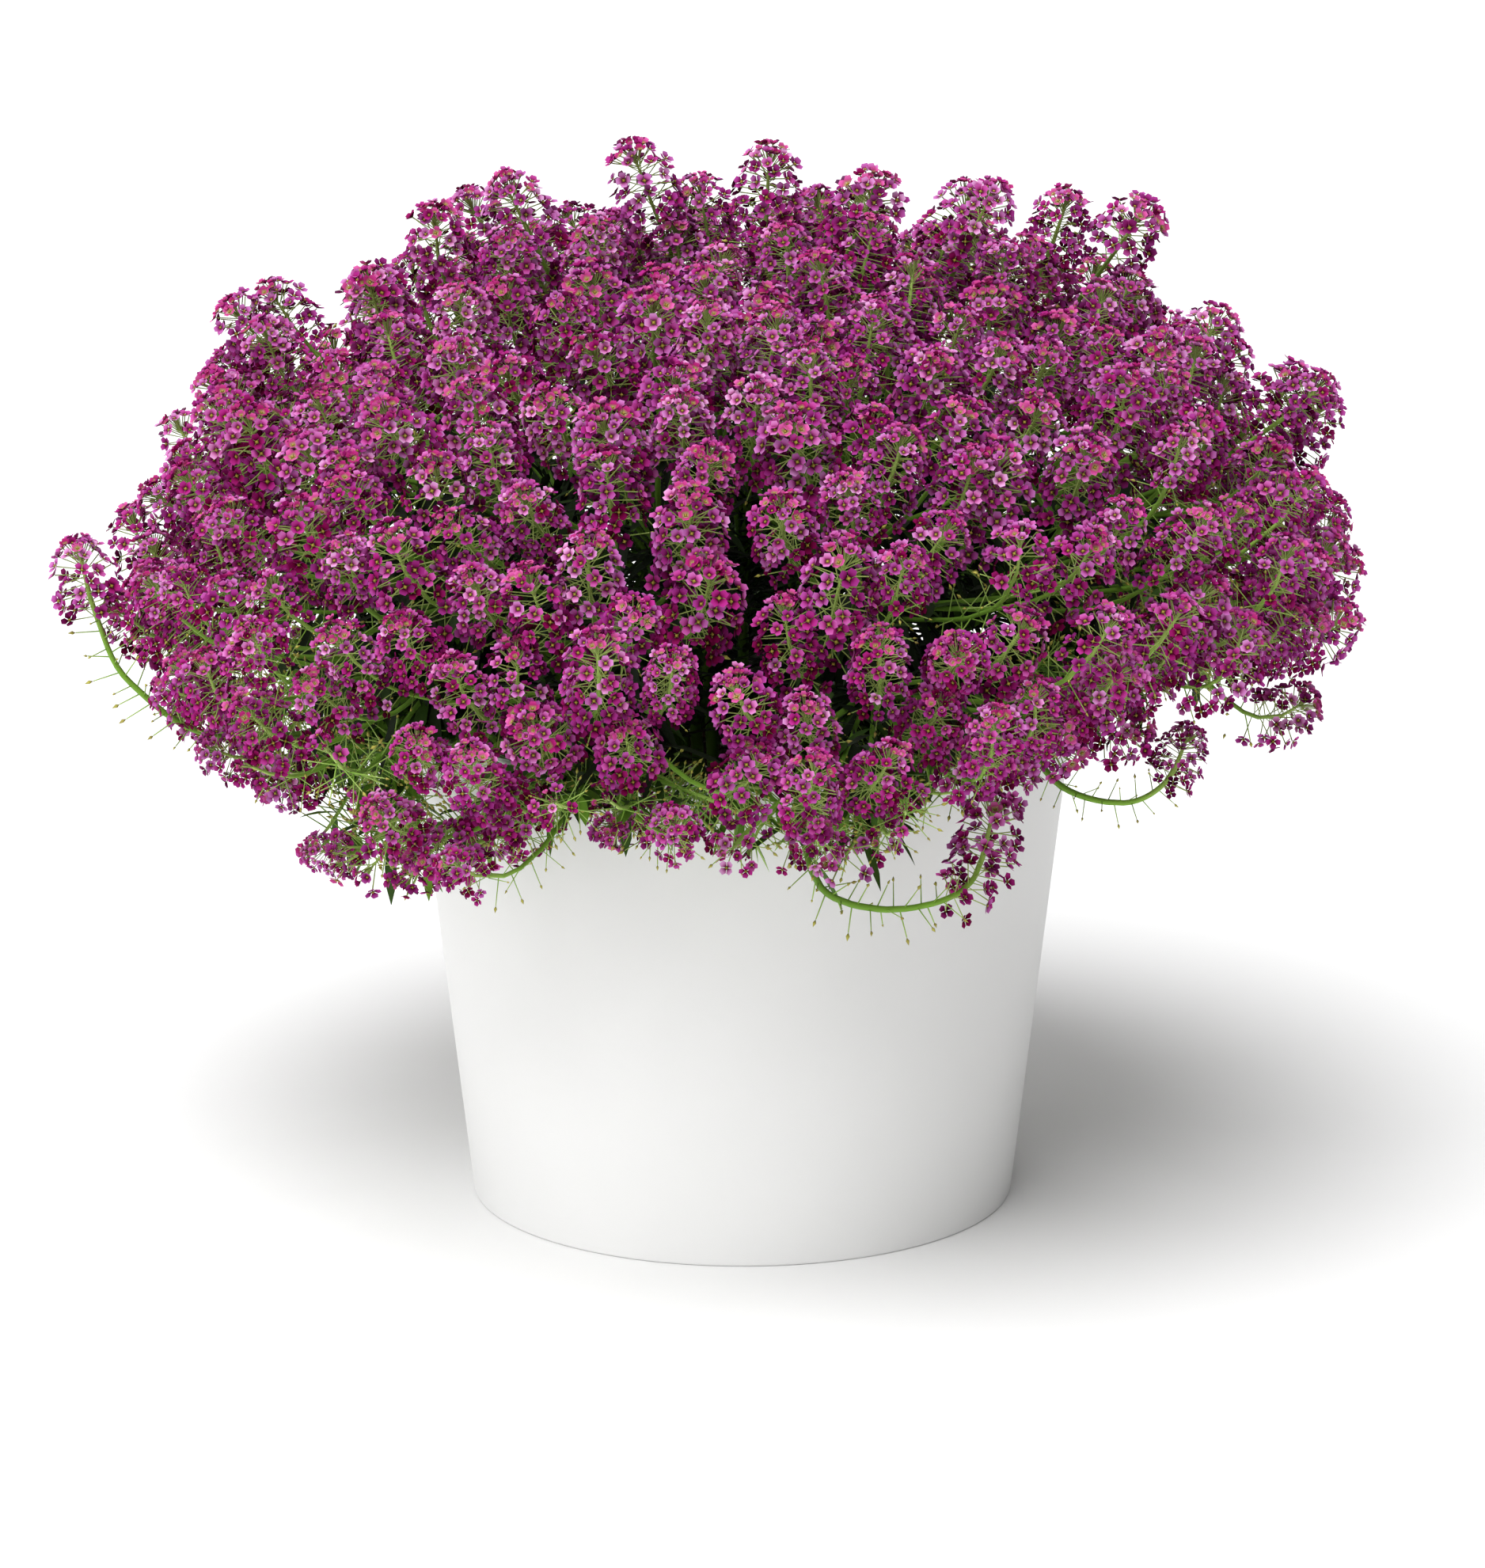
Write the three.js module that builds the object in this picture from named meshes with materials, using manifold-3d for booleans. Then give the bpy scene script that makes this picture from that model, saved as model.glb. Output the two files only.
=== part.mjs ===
// Potted sweet alyssum: a round white pot full of growing mix, and a wide mound of branching stems that
// each end in a head of four-petalled florets. Millimetres, +Z up. The origin is the centre of the pot's
// base on the surface it stands on, and the front of the plant faces -Y.

import * as THREE from 'three';
import { mergeVertices } from 'three/addons/utils/BufferGeometryUtils.js';
import Module from 'manifold-3d';

// Pot: a straight taper from base to rim, with a flat floor and drainage holes.
const POT_HEIGHT = 190;
const POT_BASE_RADIUS = 103;
const POT_RIM_RADIUS = 125;
const POT_WALL = 3;
const POT_FLOOR = 4;
const POT_SIDES = 36;
const DRAIN_HOLES = 6;
const DRAIN_RADIUS = 6;
const DRAIN_SIDES = 6;
const DRAIN_CIRCLE_RADIUS = 66;

// Growing mix: fills the pot to a little below the rim, with a plain hole for each stem.
const SOIL_TOP = 170;
const CLEARANCE = 0.3;
const HOLE_DEPTH = 18;
const HOLE_SIDES = 4;

// Mound: a flattened dome. Its skirt turns in below its widest ring, less so at the front.
const MOUND_RADIUS = 238;
const MOUND_MIDDLE = 222;
const MOUND_RISE = 163;
const MOUND_DROP = 78;
const MOUND_ROUNDNESS = 2.35;
const MOUND_END_ANGLE = 2.45;
const MOUND_STEPS = 900;
const FRONT_LIFT = 0.15;

// Rings of sprays, from the crown out to the skirt. Each spray carries heads in rows, given by their
// distance from the crown along the mound's surface, and leans out through its bend, given as radius and
// height. A row's shift moves its heads round by that share of a step. A row with a bunch keeps to that
// share of the spray's sector, which leaves room for the stems that hang past it. The heads' size falls
// off down the sides. Each row arches a little between its spray's two edges.
const ROW_ARCH = 11;
const SPRAY_RINGS = [
  {
    name: 'crown',
    sprays: 1,
    hole: 0,
    bend: [2, 270],
    size: 1,
    rows: [{ at: 0, heads: 1 }, { at: 36, heads: 6 }],
  },
  {
    name: 'top',
    sprays: 6,
    hole: 22,
    bend: [32, 270],
    size: 1,
    rows: [{ at: 73, heads: 2, shift: -0.2 }, { at: 110, heads: 3, shift: 0.2 }],
  },
  {
    name: 'shoulder',
    sprays: 8,
    hole: 42,
    bend: [58, 270],
    size: 1,
    rows: [{ at: 147, heads: 3, shift: -0.2 }, { at: 184, heads: 4, shift: 0.2 }],
  },
  {
    name: 'flank',
    sprays: 9,
    hole: 63,
    bend: [88, 262],
    size: 1,
    rows: [{ at: 220, heads: 4, shift: -0.2 }, { at: 256, heads: 4, shift: 0.25 }],
  },
  {
    name: 'side',
    sprays: 9,
    hole: 84,
    bend: [112, 248],
    size: 0.93,
    rows: [{ at: 290, heads: 5, shift: -0.2 }, { at: 324, heads: 5, shift: 0.2 }],
  },
  {
    name: 'skirt',
    sprays: 9,
    hole: 103,
    bend: [128, 236],
    size: 0.84,
    rows: [{ at: 364, heads: 4 }, { at: 400, heads: 2, bunch: 0.6 }],
  },
];

// Heads that stand out on the skyline, as seen from the front: across and up from the pot's base. A head's
// distance back from the skyline counts by this share when the nearest one is chosen.
const SKYLINE_DEPTH_SHARE = 0.35;
const SKYLINE = [
  [-42, 402], [10, 404], [-88, 390], [-114, 381], [50, 393], [90, 391], [123, 388], [150, 380],
  [-139, 360], [-180, 351], [-197, 325], [-214, 300], [-238, 268], [178, 344], [209, 326], [225, 308],
];

// Flower heads: florets in two staggered whorls of four, larger than life, round the stem's tip.
const HEAD_LENGTH = 35;
const PETALS = 4;
const LOWER_WHORL = { at: 0.36, reach: 14.6, notch: 8.2, droop: 2.4 };
const UPPER_WHORL = { at: 0.76, reach: 12.2, notch: 6.8, droop: 1.8 };
const HEAD_LEAN = 0.62;
const HEAD_LEAN_SPREAD = 0.1;
const HEAD_TURN_SPREAD = 0.04;
const HEAD_RUN_SPREAD = 2;
const HEAD_SINK = 7;
const HEAD_RISE = 3;
const HEAD_SIZES = [0.94, 1.04];
const HEAD_SPACING = 31;
const EASE_PASSES = 12;

// Stems: a trunk for each spray, which opens into a leafy core. The core's rim reaches this share of the
// way from the trunk to the heads, and one stem stands out of the core for each head.
const TRUNK_RADIUS = 2.4;
const TRUNK_SIDES = 4;
const TRUNK_KNEE = 0.22;
const TRUNK_FORK = 0.4;
const CORE_RIM = 0.5;
const CORE_TOP = 0.62;
const COLLAR_LEAN = 0.3;
const STEM_RADIUS = 1.15;
const STEM_SIDES = 3;
const MOUTH_RISE = 2;

// Trailing stems: they reach or hang past the mound, bare but for the pedicels of spent florets, and end
// in a head. Each leaves the pot at an angle in degrees, then takes a route of points across, back and up,
// to the head's foot and the head's tip.
const TRAILING = [
  {
    name: 'front_loop',
    leaves: -80,
    route: [[21, -152, 184], [28, -166, 163], [48, -169, 156], [70, -163, 158], [86, -153, 168]],
    tip: [98, -147, 193],
  },
  {
    name: 'right_loop',
    leaves: -40,
    route: [[116, -104, 182], [138, -112, 175], [153, -114, 184]],
    tip: [163, -113, 209],
  },
  {
    name: 'left_tip',
    leaves: -153,
    route: [[-190, -53, 190], [-232, -50, 206], [-246, -51, 226]],
    tip: [-259, -51, 250],
  },
  {
    name: 'left_low',
    leaves: -140,
    route: [[-127, -98, 176], [-146, -105, 160]],
    tip: [-171, -110, 164],
  },
  {
    name: 'back_loop',
    leaves: 120,
    route: [[-76, 146, 182], [-92, 160, 166], [-118, 152, 172]],
    tip: [-132, 147, 196],
  },
];
const TRAILING_HOLE = 109;
const TRAILING_ROOM = 24;
const RIM_INSIDE = { from: 12, below: 3 };
const RIM_OUTSIDE = { from: 4, above: 9 };
const PEDICEL_LENGTH = 10;
const PEDICEL_RADIUS = 0.7;
const PEDICEL_SIDES = 3;
const PEDICEL_RISE = 0.4;
const PEDICELS_PER_STEM = 5;
const PEDICELS_FROM = 0.5;
const PEDICELS_TO = 0.96;
const GOLDEN_ANGLE = 2.4;

// Leafy shoots: green stems with narrow leaves, between the skirt and the rim. The stem bends through one
// point to its tip, both given as radius and height, and its radius falls off from the root to the tip.
const LEAFY_SHOOTS = 9;
const LEAFY_HOLE = 111;
const LEAFY_BEND = [118, 208];
const LEAFY_TIP = [168, 197];
const LEAFY_RADII = [1.9, 1.9, 1.5, 1.2, 0.9];
const LEAVES_PER_SHOOT = 7;
const LEAVES_FROM = 0.5;
const LEAVES_TO = 0.98;
const LEAF_LENGTH = 27;
const LEAF_WIDTH = 4.6;
const LEAF_THICKNESS = 1;
const LEAF_ARCH = 1.5;
const LEAF_SPREAD = [0.5, 0.95];
const LEAF_DROOP = [0.12, 0.37];

const PLANT_SEED = 2071;
const FRONT = -Math.PI / 2;
const TURN = 2 * Math.PI;
const UP = new THREE.Vector3(0, 0, 1);

const PETAL_FINISH = { color: '#b0358f', roughness: 0.6 };
const LEAF_FINISH = { color: '#5f7a34', roughness: 0.6 };
const POT_FINISH = { color: '#f1f1f0', roughness: 0.45 };
const SOIL_FINISH = { color: '#3b2c22', roughness: 0.95 };

const wasm = await Module();
wasm.setup();

// Seeded draws: the same plant grows every time.
function makeDraw(seed) {
  const MULTIPLIER = 16807;
  const MODULUS = 2147483647;
  let state = seed;
  return (low, high) => {
    state = (state * MULTIPLIER) % MODULUS;
    return low + (high - low) * (state / MODULUS);
  };
}

// A closed surface built from rings of points and single points, with every face turned outward.
class Skin {
  constructor() {
    this.points = [];
    this.faces = [];
  }

  add(point) {
    this.points.push(point);
    return this.points.length - 1;
  }

  ring(points) {
    return points.map((point) => this.add(point));
  }

  // Joins two rings of any number of points, the lower one given first.
  band(lower, upper) {
    let a = 0;
    let b = 0;
    while (a < lower.length || b < upper.length) {
      const lowerTurn = (a + 1) / lower.length;
      const upperTurn = (b + 1) / upper.length;
      const here = lower[a % lower.length];
      const above = upper[b % upper.length];
      if (a < lower.length && (b >= upper.length || lowerTurn <= upperTurn)) {
        a += 1;
        this.faces.push([here, lower[a % lower.length], above]);
      } else {
        b += 1;
        this.faces.push([here, upper[b % upper.length], above]);
      }
    }
  }

  coverBelow(ring) {
    for (let i = 1; i + 1 < ring.length; i += 1) {
      this.faces.push([ring[0], ring[i + 1], ring[i]]);
    }
  }

  coverAbove(ring) {
    for (let i = 1; i + 1 < ring.length; i += 1) {
      this.faces.push([ring[0], ring[i], ring[i + 1]]);
    }
  }

  pointBelow(ring, tip) {
    ring.forEach((now, i) => this.faces.push([tip, ring[(i + 1) % ring.length], now]));
  }

  pointAbove(ring, tip) {
    ring.forEach((now, i) => this.faces.push([now, ring[(i + 1) % ring.length], tip]));
  }

  toSolid() {
    const vertProperties = new Float32Array(this.points.flatMap((point) => [point.x, point.y, point.z]));
    const triVerts = new Uint32Array(this.faces.flat());
    return new wasm.Manifold(new wasm.Mesh({ numProp: 3, vertProperties, triVerts }));
  }
}

function solidFromGeometry(geometry) {
  const bare = geometry.clone();
  bare.deleteAttribute('normal');
  bare.deleteAttribute('uv');
  const merged = mergeVertices(bare, 1e-4);
  const vertProperties = Float32Array.from(merged.attributes.position.array);
  const triVerts = Uint32Array.from(merged.index.array);
  return new wasm.Manifold(new wasm.Mesh({ numProp: 3, vertProperties, triVerts }));
}

function fuse(solids) {
  return solids.reduce((whole, solid) => whole.add(solid));
}

function meshFromSolid(solid, name, finish) {
  const { vertProperties, triVerts } = solid.getMesh();
  const geometry = new THREE.BufferGeometry();
  geometry.setAttribute('position', new THREE.BufferAttribute(Float32Array.from(vertProperties), 3));
  geometry.setIndex(new THREE.BufferAttribute(Uint32Array.from(triVerts), 1));
  geometry.computeVertexNormals();
  const material = new THREE.MeshStandardMaterial({ ...finish, metalness: 0, flatShading: true });
  const mesh = new THREE.Mesh(geometry, material);
  mesh.name = name;
  return mesh;
}

// A ring of points square to an axis, anticlockwise about it, starting on the side nearest to hint.
// reaches holds one radius for each point in turn.
function ringAround(centre, axis, hint, reaches, count) {
  const along = axis.clone().normalize();
  const side = hint.clone().addScaledVector(along, -hint.dot(along)).normalize();
  const other = new THREE.Vector3().crossVectors(along, side);
  return Array.from({ length: count }, (_, i) => {
    const angle = (i * TURN) / count;
    const reach = reaches[i % reaches.length];
    return centre
      .clone()
      .addScaledVector(side, reach * Math.cos(angle))
      .addScaledVector(other, reach * Math.sin(angle));
  });
}

// The side that a ring about axis starts on, for its corners to lie nearest to those of a ring before it.
function sideFacing(ring, axis) {
  const along = axis.clone().normalize();
  const start = ring[0].clone().sub(ring[1]);
  const side = start.addScaledVector(along, -start.dot(along)).normalize();
  const other = new THREE.Vector3().crossVectors(along, side);
  let cosine = 0;
  let sine = 0;
  ring.forEach((point, k) => {
    const angle = (k * TURN) / ring.length;
    cosine += point.dot(side) * Math.cos(angle) + point.dot(other) * Math.sin(angle);
    sine += point.dot(other) * Math.cos(angle) - point.dot(side) * Math.sin(angle);
  });
  return side.multiplyScalar(cosine).addScaledVector(other, sine).normalize();
}

function polar(radius, turn, height) {
  return new THREE.Vector3(radius * Math.cos(turn), radius * Math.sin(turn), height);
}

function acrossTurn(turn) {
  return new THREE.Vector3(-Math.sin(turn), Math.cos(turn), 0);
}

// A tapering stem with flat sides through a list of points.
function stemSolid(path, radii, sides, hint) {
  const skin = new Skin();
  const rings = path.map((point, i) => {
    const before = path[Math.max(i - 1, 0)];
    const after = path[Math.min(i + 1, path.length - 1)];
    return skin.ring(ringAround(point, after.clone().sub(before), hint, [radii[i]], sides));
  });
  skin.coverBelow(rings[0]);
  for (let i = 0; i + 1 < rings.length; i += 1) {
    skin.band(rings[i], rings[i + 1]);
  }
  skin.coverAbove(rings[rings.length - 1]);
  return skin.toSolid();
}

// The two whorls of florets and the bud tip, on top of the ring that the stem ends in. Petals and notches
// alternate round each whorl, and each petal of the upper one stands over a notch of the lower one.
function addHead(skin, stemRing, { base, axis, size }, hint) {
  const centreAt = (share) => base.clone().addScaledVector(axis, share * HEAD_LENGTH * size);
  const whorl = ({ at, reach, notch, droop }, petalFirst) => {
    const reaches = petalFirst ? [reach * size, notch * size] : [notch * size, reach * size];
    const points = ringAround(centreAt(at), axis, hint, reaches, 2 * PETALS);
    points.forEach((point, k) => {
      const isPetal = (k % 2 === 0) === petalFirst;
      point.addScaledVector(axis, isPetal ? -droop : droop);
    });
    return skin.ring(points);
  };
  const lower = whorl(LOWER_WHORL, true);
  const upper = whorl(UPPER_WHORL, false);
  skin.band(stemRing, lower);
  skin.band(lower, upper);
  skin.pointAbove(upper, skin.add(centreAt(1)));
}

// A narrow leaf: a slim blade with a raised midrib, its root at one end and its tip at the other.
function leafSolid(root, outward, upward) {
  const skin = new Skin();
  const across = new THREE.Vector3().crossVectors(upward, outward).normalize();
  const over = new THREE.Vector3().crossVectors(outward, across).normalize();
  const middle = root.clone().addScaledVector(outward, LEAF_LENGTH / 2).addScaledVector(over, LEAF_ARCH);
  const ring = skin.ring([
    middle.clone().addScaledVector(across, LEAF_WIDTH / 2),
    middle.clone().addScaledVector(over, LEAF_THICKNESS / 2),
    middle.clone().addScaledVector(across, -LEAF_WIDTH / 2),
    middle.clone().addScaledVector(over, -LEAF_THICKNESS / 2),
  ]);
  skin.pointBelow(ring, skin.add(root));
  skin.pointAbove(ring, skin.add(root.clone().addScaledVector(outward, LEAF_LENGTH)));
  return skin.toSolid();
}

// The mound's profile: radius, height and slope at each small step from the crown to the skirt's end.
function traceMound() {
  const power = 2 / MOUND_ROUNDNESS;
  const profile = [];
  let run = 0;
  for (let i = 0; i <= MOUND_STEPS; i += 1) {
    const angle = (MOUND_END_ANGLE * i) / MOUND_STEPS;
    const below = angle > Math.PI / 2;
    const cosine = Math.cos(angle);
    const radius = MOUND_RADIUS * Math.sin(angle) ** power;
    const height = below
      ? MOUND_MIDDLE - MOUND_DROP * Math.abs(cosine) ** power
      : MOUND_MIDDLE + MOUND_RISE * Math.abs(cosine) ** power;
    const last = profile[i - 1];
    if (last) {
      run += Math.hypot(radius - last.radius, height - last.height);
    }
    profile.push({ radius, height, run });
  }
  return profile;
}

const profile = traceMound();

// The point of the mound at a distance from the crown along its surface, with the outward direction.
function moundAt(run, turn) {
  const i = profile.findIndex((step, index) => index > 0 && step.run > run);
  const [before, after] = [profile[i - 1], profile[i]];
  const part = (run - before.run) / (after.run - before.run);
  const radius = before.radius + (after.radius - before.radius) * part;
  let height = before.height + (after.height - before.height) * part;
  const frontness = Math.max(0, Math.cos(turn - FRONT)) ** 2;
  if (height < MOUND_MIDDLE) {
    height += (MOUND_MIDDLE - height) * FRONT_LIFT * frontness;
  }
  const slope = Math.atan2(before.height - after.height, after.radius - before.radius);
  return { point: polar(Math.max(radius, 0), turn, height), slope };
}

// No head grows where a trailing stem passes close by.
function hasRoom(place) {
  const near = (mark) => place.distanceTo(new THREE.Vector3(...mark)) < TRAILING_ROOM;
  return !TRAILING.some((trail) => [...trail.route, trail.tip].some(near));
}

// Where each head of a ring of sprays stands: its tip, its axis and its size.
function placeHeads(ring, draw) {
  const sprays = Array.from({ length: ring.sprays }, () => []);
  const sector = TURN / ring.sprays;
  sprays.forEach((heads, s) => {
    ring.rows.forEach((row) => {
      for (let k = 0; k < row.heads; k += 1) {
        const jitter = draw(-HEAD_TURN_SPREAD, HEAD_TURN_SPREAD);
        const even = (k + 0.5 + (row.shift || 0)) / row.heads + jitter;
        const spread = 0.5 + (even - 0.5) * (row.bunch || 1);
        const turn = FRONT + (s + spread) * sector;
        const arch = ROW_ARCH * (0.5 - (2 * even - 1) ** 2);
        const run = Math.max(0, row.at - arch + draw(-HEAD_RUN_SPREAD, HEAD_RUN_SPREAD));
        const { point, slope } = moundAt(run, turn);
        const lean = HEAD_LEAN * slope + draw(-HEAD_LEAN_SPREAD, HEAD_LEAN_SPREAD);
        const axis = polar(Math.sin(lean), turn, Math.cos(lean));
        const tip = point.addScaledVector(axis, draw(-HEAD_SINK, HEAD_RISE));
        const size = ring.size * draw(...HEAD_SIZES);
        const middle = tip.clone().addScaledVector(axis, -HEAD_LENGTH / 2);
        if (hasRoom(middle)) {
          heads.push({ tip, axis, size });
        }
      }
    });
  });
  return sprays;
}

// Moves the heads nearest to the skyline's marks onto them.
function liftSkyline(allHeads) {
  SKYLINE.forEach(([across, up]) => {
    const distance = ({ tip }) => Math.hypot(tip.x - across, tip.z - up, SKYLINE_DEPTH_SHARE * tip.y);
    const free = allHeads.filter((head) => !head.lifted);
    const nearest = free.reduce((best, head) => (distance(head) < distance(best) ? head : best));
    nearest.tip.x = across;
    nearest.tip.z = up;
    nearest.lifted = true;
  });
}

// Eases crowded heads apart, so that none grows into another. Heads set on the skyline keep their place.
function easeApart(allHeads) {
  const middleOf = (head) => head.tip.clone().addScaledVector(head.axis, (-HEAD_LENGTH * head.size) / 2);
  for (let pass = 0; pass < EASE_PASSES; pass += 1) {
    allHeads.forEach((head, i) => {
      allHeads.slice(i + 1).forEach((other) => {
        const away = middleOf(other).sub(middleOf(head));
        const shortfall = (HEAD_SPACING * (head.size + other.size)) / 2 - away.length();
        if (shortfall > 0) {
          away.setLength(shortfall / 2);
          other.tip.addScaledVector(away, other.lifted ? 0 : 1);
          head.tip.addScaledVector(away, head.lifted ? 0 : -1);
        }
      });
    });
  }
}

function setBases(allHeads) {
  allHeads.forEach((head) => {
    head.base = head.tip.clone().addScaledVector(head.axis, -HEAD_LENGTH * head.size);
  });
}

function footOf(hole) {
  return polar(hole.radius, hole.turn, SOIL_TOP - HOLE_DEPTH + CLEARANCE);
}

function mouthOf(hole) {
  return polar(hole.radius, hole.turn, SOIL_TOP + MOUTH_RISE);
}

// The heads' order round the fork, so that each stem leaves the trunk on its own head's side.
function orderRound(heads, fork, along, hint) {
  const side = hint.clone().addScaledVector(along, -hint.dot(along)).normalize();
  const other = new THREE.Vector3().crossVectors(along, side);
  const angleOf = (head) => {
    const away = head.base.clone().sub(fork);
    const angle = Math.atan2(away.dot(other), away.dot(side));
    return (angle + TURN) % TURN;
  };
  return [...heads].sort((a, b) => angleOf(a) - angleOf(b));
}

// The trunk rises from its hole and opens into a leafy core, whose rim runs between the heads. The core's
// top is split like a cake, and each slice narrows into the stem of one head.
function buildSpray(ring, hole, heads) {
  const centre = new THREE.Vector3();
  heads.forEach((head) => centre.addScaledVector(head.base, 1 / heads.length));
  const bend = polar(ring.bend[0], hole.turn, ring.bend[1]);
  const curve = new THREE.QuadraticBezierCurve3(mouthOf(hole), bend, centre);
  const knee = curve.getPoint(TRUNK_KNEE);
  const fork = curve.getPoint(TRUNK_FORK);
  const along = centre.clone().sub(fork).normalize();
  const ordered = orderRound(heads, fork, along, acrossTurn(hole.turn));
  const rim = ordered.map((head, i) => {
    const last = ordered[(i + ordered.length - 1) % ordered.length];
    const between = head.base.clone().lerp(last.base, 0.5);
    return fork.clone().lerp(between, ring.size * CORE_RIM);
  });
  const skin = new Skin();
  const hint = sideFacing(rim, along);
  const foot = skin.ring(ringAround(footOf(hole), UP, hint, [TRUNK_RADIUS], TRUNK_SIDES));
  const mouth = skin.ring(ringAround(mouthOf(hole), UP, hint, [TRUNK_RADIUS], TRUNK_SIDES));
  const bent = skin.ring(ringAround(knee, curve.getTangent(TRUNK_KNEE), hint, [TRUNK_RADIUS], TRUNK_SIDES));
  const slices = skin.ring(rim);
  skin.coverBelow(foot);
  skin.band(foot, mouth);
  skin.band(mouth, bent);
  skin.band(bent, slices);
  const heart = fork.clone().lerp(centre, CORE_TOP);
  const heartPoint = skin.add(heart);
  ordered.forEach((head, i) => {
    const next = (i + 1) % rim.length;
    const slice = [heartPoint, slices[i], slices[next]];
    const outer = rim[i].clone().lerp(rim[next], 0.5);
    const leaving = head.base.clone().sub(outer.lerp(heart, 1 / 3)).normalize();
    leaving.addScaledVector(head.axis, COLLAR_LEAN);
    const inward = sideFacing([heart, rim[i], rim[next]], leaving);
    const collar = skin.ring(ringAround(head.base, leaving, inward, [STEM_RADIUS], STEM_SIDES));
    skin.band(slice, collar);
    addHead(skin, collar, head, inward);
  });
  return skin.toSolid();
}

// The way over the rim for a stem that leaves the pot low down.
function overRim(turn) {
  return [
    polar(POT_RIM_RADIUS - RIM_INSIDE.from, turn, POT_HEIGHT - RIM_INSIDE.below),
    polar(POT_RIM_RADIUS + RIM_OUTSIDE.from, turn, POT_HEIGHT + RIM_OUTSIDE.above),
  ];
}

// The point and direction at a share of the way along a path of straight pieces.
function alongPath(path, share) {
  const place = share * (path.length - 1);
  const i = Math.min(Math.floor(place), path.length - 2);
  const point = path[i].clone().lerp(path[i + 1], place - i);
  const along = path[i + 1].clone().sub(path[i]).normalize();
  return { point, along };
}

// A bare trailing stem, with its head grown on in one skin and its spent pedicels fused on.
function buildTrailing(trail, hole, draw) {
  const route = trail.route.map((place) => new THREE.Vector3(...place));
  const points = [mouthOf(hole), ...overRim(hole.turn), ...route];
  const path = new THREE.CatmullRomCurve3(points).getPoints(2 * points.length - 4);
  const tip = new THREE.Vector3(...trail.tip);
  const base = path[path.length - 1];
  const axis = tip.clone().sub(base).normalize();
  const hint = UP.clone().cross(base.clone().sub(path[0])).normalize();
  const skin = new Skin();
  const foot = skin.ring(ringAround(footOf(hole), UP, hint, [TRUNK_RADIUS], TRUNK_SIDES));
  skin.coverBelow(foot);
  let below = foot;
  path.forEach((point, i) => {
    const before = path[i - 1] || footOf(hole);
    const after = path[i + 1] || tip;
    const radius = TRUNK_RADIUS + (STEM_RADIUS - TRUNK_RADIUS) * (i / (path.length - 1));
    const ring = skin.ring(ringAround(point, after.clone().sub(before), hint, [radius], TRUNK_SIDES));
    skin.band(below, ring);
    below = ring;
  });
  addHead(skin, below, { base, axis, size: tip.distanceTo(base) / HEAD_LENGTH }, hint);
  const pedicels = Array.from({ length: PEDICELS_PER_STEM }, (_, i) => {
    const share = PEDICELS_FROM + ((PEDICELS_TO - PEDICELS_FROM) * i) / PEDICELS_PER_STEM;
    const { point, along } = alongPath(path, share);
    const spin = i * GOLDEN_ANGLE + draw(-0.3, 0.3);
    const out = ringAround(new THREE.Vector3(), along, hint, [1], 1)[0].applyAxisAngle(along, spin);
    out.addScaledVector(along, PEDICEL_RISE).normalize();
    const end = point.clone().addScaledVector(out, PEDICEL_LENGTH);
    return stemSolid([point, end], [PEDICEL_RADIUS, PEDICEL_RADIUS], PEDICEL_SIDES, along);
  });
  return fuse([skin.toSolid(), ...pedicels]);
}

// A green stem over the rim, with leaves set by turns on its two sides.
function buildLeafyShoot(hole, draw) {
  const { turn } = hole;
  const bend = polar(LEAFY_BEND[0], turn, LEAFY_BEND[1]);
  const tip = polar(LEAFY_TIP[0], turn, LEAFY_TIP[1]);
  const curve = new THREE.QuadraticBezierCurve3(mouthOf(hole), bend, tip);
  const path = curve.getPoints(LEAFY_RADII.length - 2);
  const stem = stemSolid([footOf(hole), ...path], LEAFY_RADII, TRUNK_SIDES, acrossTurn(turn));
  const leaves = Array.from({ length: LEAVES_PER_SHOOT }, (_, i) => {
    const share = LEAVES_FROM + ((LEAVES_TO - LEAVES_FROM) * (i + 0.5)) / LEAVES_PER_SHOOT;
    const { point } = alongPath(path, share);
    const side = i % 2 === 0 ? 1 : -1;
    const spread = side * draw(...LEAF_SPREAD);
    const outward = polar(1, turn + spread, -draw(...LEAF_DROOP)).normalize();
    return leafSolid(point, outward, UP);
  });
  return fuse([stem, ...leaves]);
}

function buildPot() {
  const innerBase = POT_BASE_RADIUS - POT_WALL;
  const innerRim = POT_RIM_RADIUS - POT_WALL;
  const outline = [
    new THREE.Vector2(0, 0),
    new THREE.Vector2(POT_BASE_RADIUS, 0),
    new THREE.Vector2(POT_RIM_RADIUS, POT_HEIGHT),
    new THREE.Vector2(innerRim, POT_HEIGHT),
    new THREE.Vector2(innerBase, POT_FLOOR),
    new THREE.Vector2(0, POT_FLOOR),
  ];
  const shell = solidFromGeometry(new THREE.LatheGeometry(outline, POT_SIDES).rotateX(Math.PI / 2));
  let pot = shell;
  for (let i = 0; i < DRAIN_HOLES; i += 1) {
    const centre = polar(DRAIN_CIRCLE_RADIUS, (i * TURN) / DRAIN_HOLES, POT_FLOOR / 2);
    const drill = new THREE.CylinderGeometry(DRAIN_RADIUS, DRAIN_RADIUS, 2 * POT_FLOOR, DRAIN_SIDES);
    drill.rotateX(Math.PI / 2).translate(centre.x, centre.y, centre.z);
    pot = pot.subtract(solidFromGeometry(drill));
  }
  return pot;
}

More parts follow.
